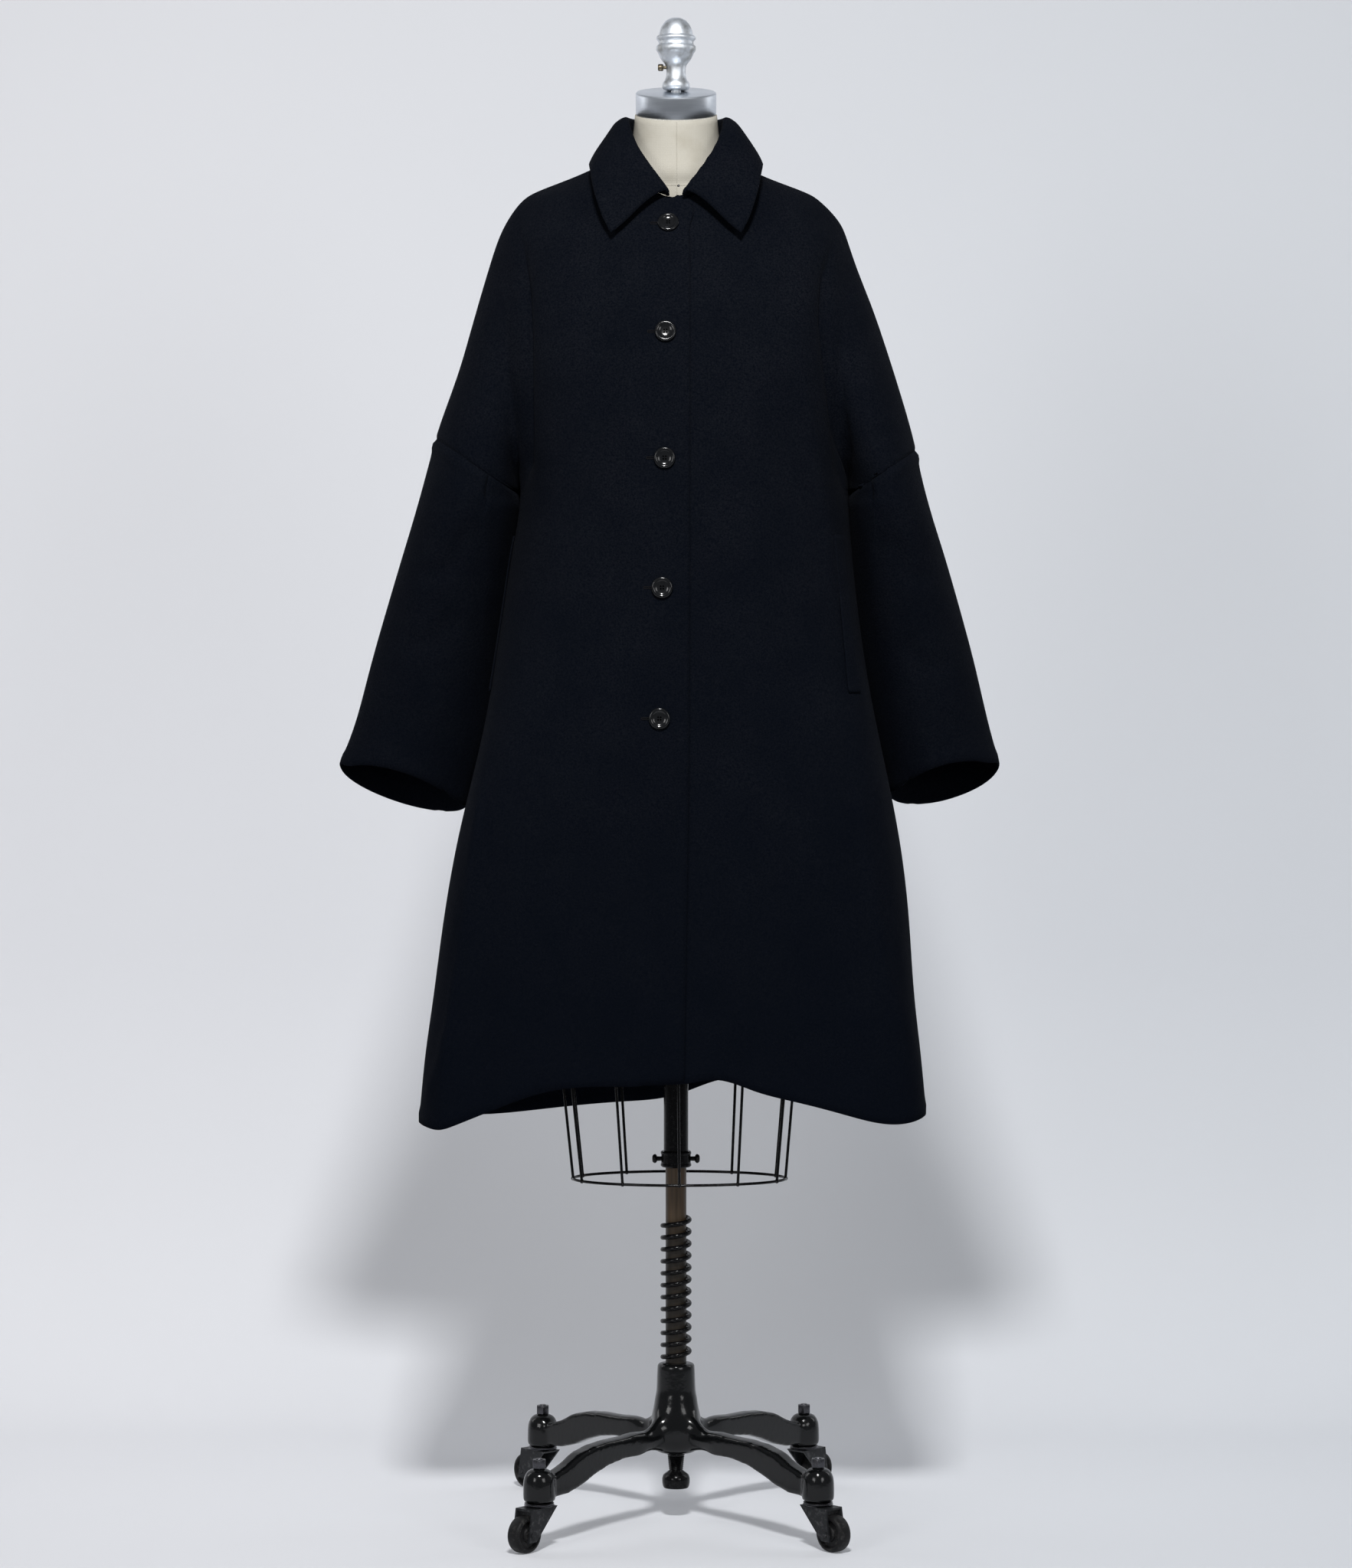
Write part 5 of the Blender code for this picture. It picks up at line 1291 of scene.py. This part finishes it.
class FORM_OT_clamp(PieceOperator, bpy.types.Operator):
    """Makes the form's tube and the clamp with its thumb screws"""

    bl_idname = "coat.clamp"
    bl_label = "Tube and clamp"

    def make(self):
        low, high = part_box("form_tube")
        radius = high.x
        bore = radius - 0.0017
        tube = ((bore, high.z), (radius, high.z), (radius, low.z), (bore, low.z))
        mesh = mesh_from(turned(tube, 48, ring=True), "tube")
        piece = add_piece("steel_form_tube", mesh, "steel", "form", "black_steel", "form_tube")
        bevelled(piece, 0.0004)
        low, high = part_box("clamp_collar")
        outer = high.x
        bore = outer - 0.0054
        groove = (low.z + high.z) / 2
        collar = (
            (bore, high.z), (outer - 0.0012, high.z), (outer, high.z - 0.0012), (outer, groove + 0.0062),
            (outer - 0.0006, groove + 0.0056), (outer - 0.0006, groove - 0.0056), (outer, groove - 0.0062),
            (outer, low.z + 0.0012), (outer - 0.0012, low.z), (bore, low.z)
        )
        mesh = mesh_from(turned(collar, 56, ring=True), "collar")
        add_piece("steel_clamp_collar", mesh, "steel", "clamp", "black_steel", "clamp_collar")
        for side, way in (("right", -1), ("left", 1)):
            node = f"clamp_screw_{side}"
            low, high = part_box(node)
            near = min(low.x, high.x, key=abs)
            reach = high.x - low.x
            screw = (
                (0.0, reach), (0.0030, reach - 0.0002), (0.0047, reach - 0.0012), (0.0055, reach - 0.0028),
                (0.0055, reach - 0.0042), (0.0045, reach - 0.0054), (0.0028, reach - 0.0060),
                (0.0026, -0.0010), (0.0, -0.0010)
            )
            at = Matrix.Translation((near, (low.y + high.y) / 2, (low.z + high.z) / 2))
            mesh = mesh_from(turned(screw, 24, at @ towards((way, 0.0, 0.0))), "screw")
            add_piece(f"steel_{node}", mesh, "steel", "clamp", "black_steel", node)


# Stand
CASTING_GRAIN = 0.0016
CASTING_SOFTENING = 36  # passes that round the casting
HUB_SOFTENING = 420  # passes that let the legs flow into the hub
NUT_RADIUS = 0.0084


class STAND_OT_base(PieceOperator, bpy.types.Operator):
    """Makes the cast base, its nuts and the foot stem"""

    bl_idname = "coat.base"
    bl_label = "Cast base"

    def make(self):
        casting = mesh_from(merged_copy("base_casting"), "casting")
        casting = applied(
            casting,
            ("REMESH", {"mode": "VOXEL", "voxel_size": CASTING_GRAIN}),
            ("SMOOTH", {"factor": 0.5, "iterations": CASTING_SOFTENING}),
        )
        eased = applied(casting.copy(), ("SMOOTH", {"factor": 0.5, "iterations": HUB_SOFTENING}))
        points = arrays(casting)[0]
        away = np.linalg.norm(points[:, :2], axis=1)
        share = smooth(0.080, 0.048, away) * smooth(0.150, 0.125, points[:, 2])
        blend = points + share[:, None] * (arrays(eased)[0] - points)
        casting.vertices.foreach_set("co", blend.ravel())
        casting.update()
        bpy.data.meshes.remove(eased)
        add_piece("enamel_base", casting, "enamel", "stand", "black_enamel", "base_casting")
        for number in range(1, CASTER_COUNT + 1):
            node = f"caster_nut_{number}"
            low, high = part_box(node)
            swivel = JOINTS[f"swivel_{number}"]["pos_m"]
            nut = bmesh.new()
            height = high.z - low.z
            at = Matrix.Translation((swivel[0], swivel[1], low.z + 0.45 * height))
            bmesh.ops.create_cone(
                nut, cap_ends=True, segments=6, radius1=NUT_RADIUS, radius2=NUT_RADIUS, depth=0.9 * height,
                matrix=at
            )
            bmesh.ops.bevel(
                nut, geom=nut.edges[:], offset=0.0007, segments=2, profile=0.5, affect="EDGES", material=-1
            )
            rod = ((0.0, high.z), (0.0036, high.z), (0.0043, high.z - 0.0009), (0.0043, low.z), (0.0, low.z))
            stud = turned(rod, 20, Matrix.Translation((swivel[0], swivel[1], 0.0)))
            end = mesh_from(stud, "stud")
            nut.from_mesh(end)
            bpy.data.meshes.remove(end)
            add_piece(f"plated_{node}", mesh_from(nut, "nut"), "plating", "stand", "dark_chrome", node)
        low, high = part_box("foot_stem")
        stem = [(0.0, high.z), (0.0108, high.z)]
        thread_top = high.z - 0.0010
        thread_low = 0.0585
        turns = 8
        for turn in range(turns):
            z = thread_top - (thread_top - thread_low) * turn / turns
            pitch = (thread_top - thread_low) / turns
            taper = 0.0106 - 0.0020 * turn / turns
            stem += [(taper, z), (taper - 0.0011, z - 0.5 * pitch)]
        stem += [
            (0.0085, thread_low), (0.0130, 0.0552), (0.0156, 0.0528), (0.0167, 0.0490), (0.0167, 0.0440),
            (0.0160, 0.0402), (0.0150, low.z), (0.0, low.z)
        ]
        mesh = mesh_from(turned(stem, 40), "stem")
        add_piece("steel_foot_stem", mesh, "steel", "stand", "black_steel", "foot_stem")


class STAND_OT_pole(PieceOperator, bpy.types.Operator):
    """Makes the pole and the coil spring around it"""

    bl_idname = "coat.pole"
    bl_label = "Pole and spring"

    def make(self):
        low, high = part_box("pole")
        radius = high.x
        edge = 0.001
        pole = (
            (0.0, high.z), (radius - edge, high.z), (radius, high.z - edge), (radius, low.z), (0.0, low.z)
        )
        mesh = mesh_from(turned(pole, 48), "pole")
        add_piece("wood_pole", mesh, "wood", "stand", "stained_wood", "pole")
        low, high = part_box("spring")
        wire = 0.0029
        coil = high.x - wire + 0.0002
        turns = 12
        steps = 26 * turns
        bottom = low.z + wire
        top = high.z - wire
        points = []
        for step in range(steps + 1):
            share = step / steps
            angle = math.pi + 2 * math.pi * turns * share
            level = bottom + (top - bottom) * share
            points.append((coil * math.sin(angle), -coil * math.cos(angle), level))
        mesh = wire_mesh("spring", points, wire, False, 4)
        add_piece("steel_spring", mesh, "steel", "stand", "black_steel", "spring")


class STAND_OT_casters(PieceOperator, bpy.types.Operator):
    """Makes the casters: races, forks and wheels"""

    bl_idname = "coat.casters"
    bl_label = "Casters"

    def make(self):
        for number in range(1, CASTER_COUNT + 1):
            self.race(number)
            node = f"caster_fork_{number}"
            fork = merged_copy(node)
            bmesh.ops.dissolve_limit(fork, angle_limit=math.radians(2), verts=fork.verts, edges=fork.edges)
            mesh = mesh_from(fork, "fork")
            piece = add_piece(f"steel_{node}", mesh, "worn_steel", f"caster_{number}", "black_steel", node)
            bevelled(piece, 0.0008)
            self.wheel(number)

    def race(self, number):
        """Two dished washers with a dust ring between them."""
        node = f"caster_race_{number}"
        low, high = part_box(node)
        swivel = JOINTS[f"swivel_{number}"]["pos_m"]
        middle = (low.z + high.z) / 2
        profile = (
            (0.0, high.z), (0.0150, high.z), (0.0166, high.z - 0.0004), (0.0174, high.z - 0.0013),
            (0.0168, middle + 0.0004), (0.0168, middle - 0.0004), (0.0178, low.z + 0.0013),
            (0.0170, low.z + 0.0004), (0.0155, low.z), (0.0, low.z)
        )
        mesh = mesh_from(turned(profile, 48, Matrix.Translation((swivel[0], swivel[1], 0.0))), "race")
        add_piece(f"plated_{node}", mesh, "plating", f"caster_{number}", "dark_chrome", node)

    def wheel(self, number):
        """A tread with a dished side, a hub and a bore."""
        node = f"caster_wheel_{number}"
        joint = JOINTS[f"roll_{number}"]
        axle = Vector(joint["pos_m"])
        radius = axle.z
        half = 0.0088
        side = (
            (0.0036, half), (0.0078, half), (0.0086, half - 0.0006), (0.0092, half - 0.0026),
            (0.0150, half - 0.0032), (0.0162, half - 0.0010), (0.0172, half), (radius - 0.0030, half),
            (radius - 0.0010, half - 0.0012), (radius - 0.0001, half - 0.0034)
        )
        profile = side + tuple((r, -h) for r, h in reversed(side))
        matrix = Matrix.Translation(axle) @ towards(joint["axis"])
        mesh = mesh_from(turned(profile, 64, matrix, ring=True), "wheel")
        add_piece(f"rubber_{node}", mesh, "rubber", f"wheel_{number}", "black_rubber", node)


# Stage
EYE = (0.0, -5.52, 1.094)
EYE_DROP = math.atan(223.5 / 6000)
FOCAL_SHARE = 6000 / 2047  # focal length as a share of the picture's height
FILM_HEIGHT = 36.0
# The key light and the side lights have honeycomb grids, which narrow their spread.
LIGHTS = (
    dict(name="key", place=(0.0, -3.15, 3.75), width=0.50, height=0.50, power=57.0, spread=110.0),
    dict(name="fill_right", place=(-3.6, -5.4, 2.5), width=2.0, height=2.2, power=88.0, spread=180.0),
    dict(name="fill_left", place=(3.6, -5.4, 2.5), width=2.0, height=2.2, power=72.0, spread=180.0),
    dict(name="side_right", place=(-2.4, 0.75, 1.8), width=0.6, height=1.6, power=3.5, spread=120.0),
    dict(name="side_left", place=(2.4, 0.75, 1.8), width=0.6, height=1.6, power=3.5, spread=120.0),
)
AIM = Vector((0.0, 0.0, 0.85))
SWEEP_FRONT = 1.3
SWEEP_BACK = 0.56
SWEEP_RADIUS = 0.6
SWEEP_HEIGHT = 4.5
SWEEP_HALF_WIDTH = 5.0
PAPER_GLOW = 0.12  # painted glow: the share of the paper's light that doesn't come from the lamps
STUDIO_LIGHT = 0.14  # how bright the studio is as a lamp
MIRRORED_LIGHT = 0.28  # and in what gloss mirrors


class COAT_OT_stage(PieceOperator, bpy.types.Operator):
    """Sets the paper backdrop, the studio around it, the lights and the camera"""

    bl_idname = "coat.stage"
    bl_label = "Stage"

    def make(self):
        scene = bpy.context.scene
        looks = scene.stage_looks
        scene.view_settings.view_transform = "Standard"
        self.sweep(looks)
        self.surroundings(looks)
        for light in LIGHTS:
            data = bpy.data.lights.new(light["name"], "AREA")
            data.shape = "RECTANGLE"
            data.size = light["width"]
            data.size_y = light["height"]
            data.energy = light["power"]
            data.spread = math.radians(light["spread"])
            lamp = bpy.data.objects.new(light["name"], data)
            lamp.location = light["place"]
            lamp.rotation_euler = (AIM - lamp.location).to_track_quat("-Z", "Y").to_euler()
            scene.collection.objects.link(lamp)
        lens = bpy.data.cameras.new("camera")
        lens.sensor_fit = "VERTICAL"
        lens.sensor_height = FILM_HEIGHT
        lens.lens = FOCAL_SHARE * FILM_HEIGHT
        camera = bpy.data.objects.new("camera", lens)
        camera.location = EYE
        camera.rotation_euler = (math.pi / 2 - EYE_DROP, 0.0, 0.0)
        scene.collection.objects.link(camera)
        scene.camera = camera

    def sweep(self, looks):
        """A sheet of pale paper that runs from the floor up into a backdrop, painted lighter on the left than
        on the right and given a share of painted glow. From behind it can't be seen.
        """
        profile = [(-SWEEP_FRONT, 0.0), (SWEEP_BACK, 0.0)]
        for step in range(1, 25):
            angle = math.pi / 2 * step / 24
            rise = SWEEP_RADIUS * (1 - math.cos(angle))
            profile.append((SWEEP_BACK + SWEEP_RADIUS * math.sin(angle), rise))
        profile.append((SWEEP_BACK + SWEEP_RADIUS, SWEEP_HEIGHT))
        made = bmesh.new()
        verts = [made.verts.new((-SWEEP_HALF_WIDTH, y, z)) for y, z in profile]
        edges = [made.edges.new(pair) for pair in zip(verts, verts[1:])]
        drawn = bmesh.ops.extrude_edge_only(made, edges=edges)["geom"]
        moved = [part for part in drawn if isinstance(part, bmesh.types.BMVert)]
        bmesh.ops.translate(made, verts=moved, vec=(2 * SWEEP_HALF_WIDTH, 0.0, 0.0))
        bmesh.ops.recalc_face_normals(made, faces=made.faces)
        made.faces.ensure_lookup_table()
        if made.faces[0].normal.z < 0:
            bmesh.ops.reverse_faces(made, faces=made.faces)
        mesh = mesh_from(made, "sweep")
        mesh.shade_smooth()
        sweep = bpy.data.objects.new("sweep", mesh)
        bpy.context.scene.collection.objects.link(sweep)
        material, tree, shader, place = new_material("backdrop_paper", Roughness=0.9, Specular_IOR_Level=0.1)
        # Painted light: the paper's colour runs from lighter on the left to darker on the right, as the light
        # falls across it.
        across = add_node(tree, "ShaderNodeSeparateXYZ", None, {0: place})
        share = add_node(
            tree, "ShaderNodeMapRange", {"interpolation_type": "SMOOTHSTEP"},
            {"Value": across.outputs["X"], "From Min": -1.0, "From Max": 1.1}
        )
        tone = add_node(
            tree, "ShaderNodeMix", {"data_type": "RGBA"},
            {0: share.outputs["Result"], 6: opaque(looks.paper_painted_light_left), 7: opaque(looks.paper_painted_shade_right)}
        )
        # Painted glow: a share of the paper shines in its own colour, with no lamp behind it.
        glow = add_node(tree, "ShaderNodeEmission", None, {"Color": tone.outputs[2]})
        lit = add_node(
            tree, "ShaderNodeMixShader", None, {0: PAPER_GLOW, 1: shader.outputs[0], 2: glow.outputs[0]}
        )
        clear = add_node(tree, "ShaderNodeBsdfTransparent")
        behind = add_node(tree, "ShaderNodeNewGeometry").outputs["Backfacing"]
        seen = add_node(
            tree, "ShaderNodeMixShader", None, {0: behind, 1: lit.outputs[0], 2: clear.outputs[0]}
        )
        tree.links.new(tone.outputs[2], shader.inputs["Base Color"])
        tree.links.new(seen.outputs[0], tree.nodes["Material Output"].inputs["Surface"])
        mesh.materials.append(material)

    def surroundings(self, looks):
        """The studio around: pale past the paper's edge, grey in what gloss mirrors, and dark as a lamp."""
        world = bpy.data.worlds.new("studio")
        bpy.context.scene.world = world
        world.use_nodes = True
        tree = world.node_tree
        path = add_node(tree, "ShaderNodeLightPath")
        mirrored = add_node(
            tree, "ShaderNodeMapRange", None,
            {"Value": path.outputs["Is Glossy Ray"], "To Min": STUDIO_LIGHT, "To Max": MIRRORED_LIGHT}
        )
        strength = add_node(
            tree, "ShaderNodeMapRange", None,
            {"Value": path.outputs["Is Camera Ray"], "To Min": mirrored.outputs["Result"], "To Max": 1.0}
        )
        room = tree.nodes["Background"]
        room.inputs["Color"].default_value = opaque(looks.paper_painted_shade_right)
        tree.links.new(strength.outputs["Result"], room.inputs["Strength"])


class COAT_PT_panel(bpy.types.Panel):
    """Lists the pieces of the coat, the form and the stand"""

    bl_idname = "COAT_PT_panel"
    bl_label = "Coat on a dress form"
    bl_space_type = "VIEW_3D"
    bl_region_type = "UI"
    bl_category = "Coat"

    def draw(self, context):
        for group in GROUPS:
            settings = getattr(context.scene, group)
            for key in settings.__annotations__:
                self.layout.prop(settings, key)
        for operator in OPERATORS:
            self.layout.operator(operator.bl_idname)


GROUPS = {
    "coat_looks": CoatLooks,
    "form_looks": FormLooks,
    "stand_looks": StandLooks,
    "stage_looks": StageLooks,
}
OPERATORS = (
    COAT_OT_stage,
    COAT_OT_panels,
    COAT_OT_collar,
    COAT_OT_welts,
    COAT_OT_buttons,
    COAT_OT_buttonholes,
    FORM_OT_torso,
    FORM_OT_cap,
    FORM_OT_cage,
    FORM_OT_clamp,
    STAND_OT_base,
    STAND_OT_pole,
    STAND_OT_casters,
)


def register():
    for name, group in GROUPS.items():
        bpy.utils.register_class(group)
        setattr(bpy.types.Scene, name, bpy.props.PointerProperty(type=group))
    for operator in OPERATORS:
        bpy.utils.register_class(operator)
    bpy.utils.register_class(COAT_PT_panel)


def unregister():
    bpy.utils.unregister_class(COAT_PT_panel)
    for operator in reversed(OPERATORS):
        bpy.utils.unregister_class(operator)
    for name, group in GROUPS.items():
        delattr(bpy.types.Scene, name)
        bpy.utils.unregister_class(group)


def main():
    register()
    bpy.ops.coat.stage()
    bpy.ops.coat.panels()
    bpy.ops.coat.collar()
    bpy.ops.coat.welts()
    bpy.ops.coat.buttons()
    bpy.ops.coat.buttonholes()
    bpy.ops.coat.torso()
    bpy.ops.coat.cap()
    bpy.ops.coat.cage()
    bpy.ops.coat.clamp()
    bpy.ops.coat.base()
    bpy.ops.coat.pole()
    bpy.ops.coat.casters()


if __name__ == "__main__":
    main()
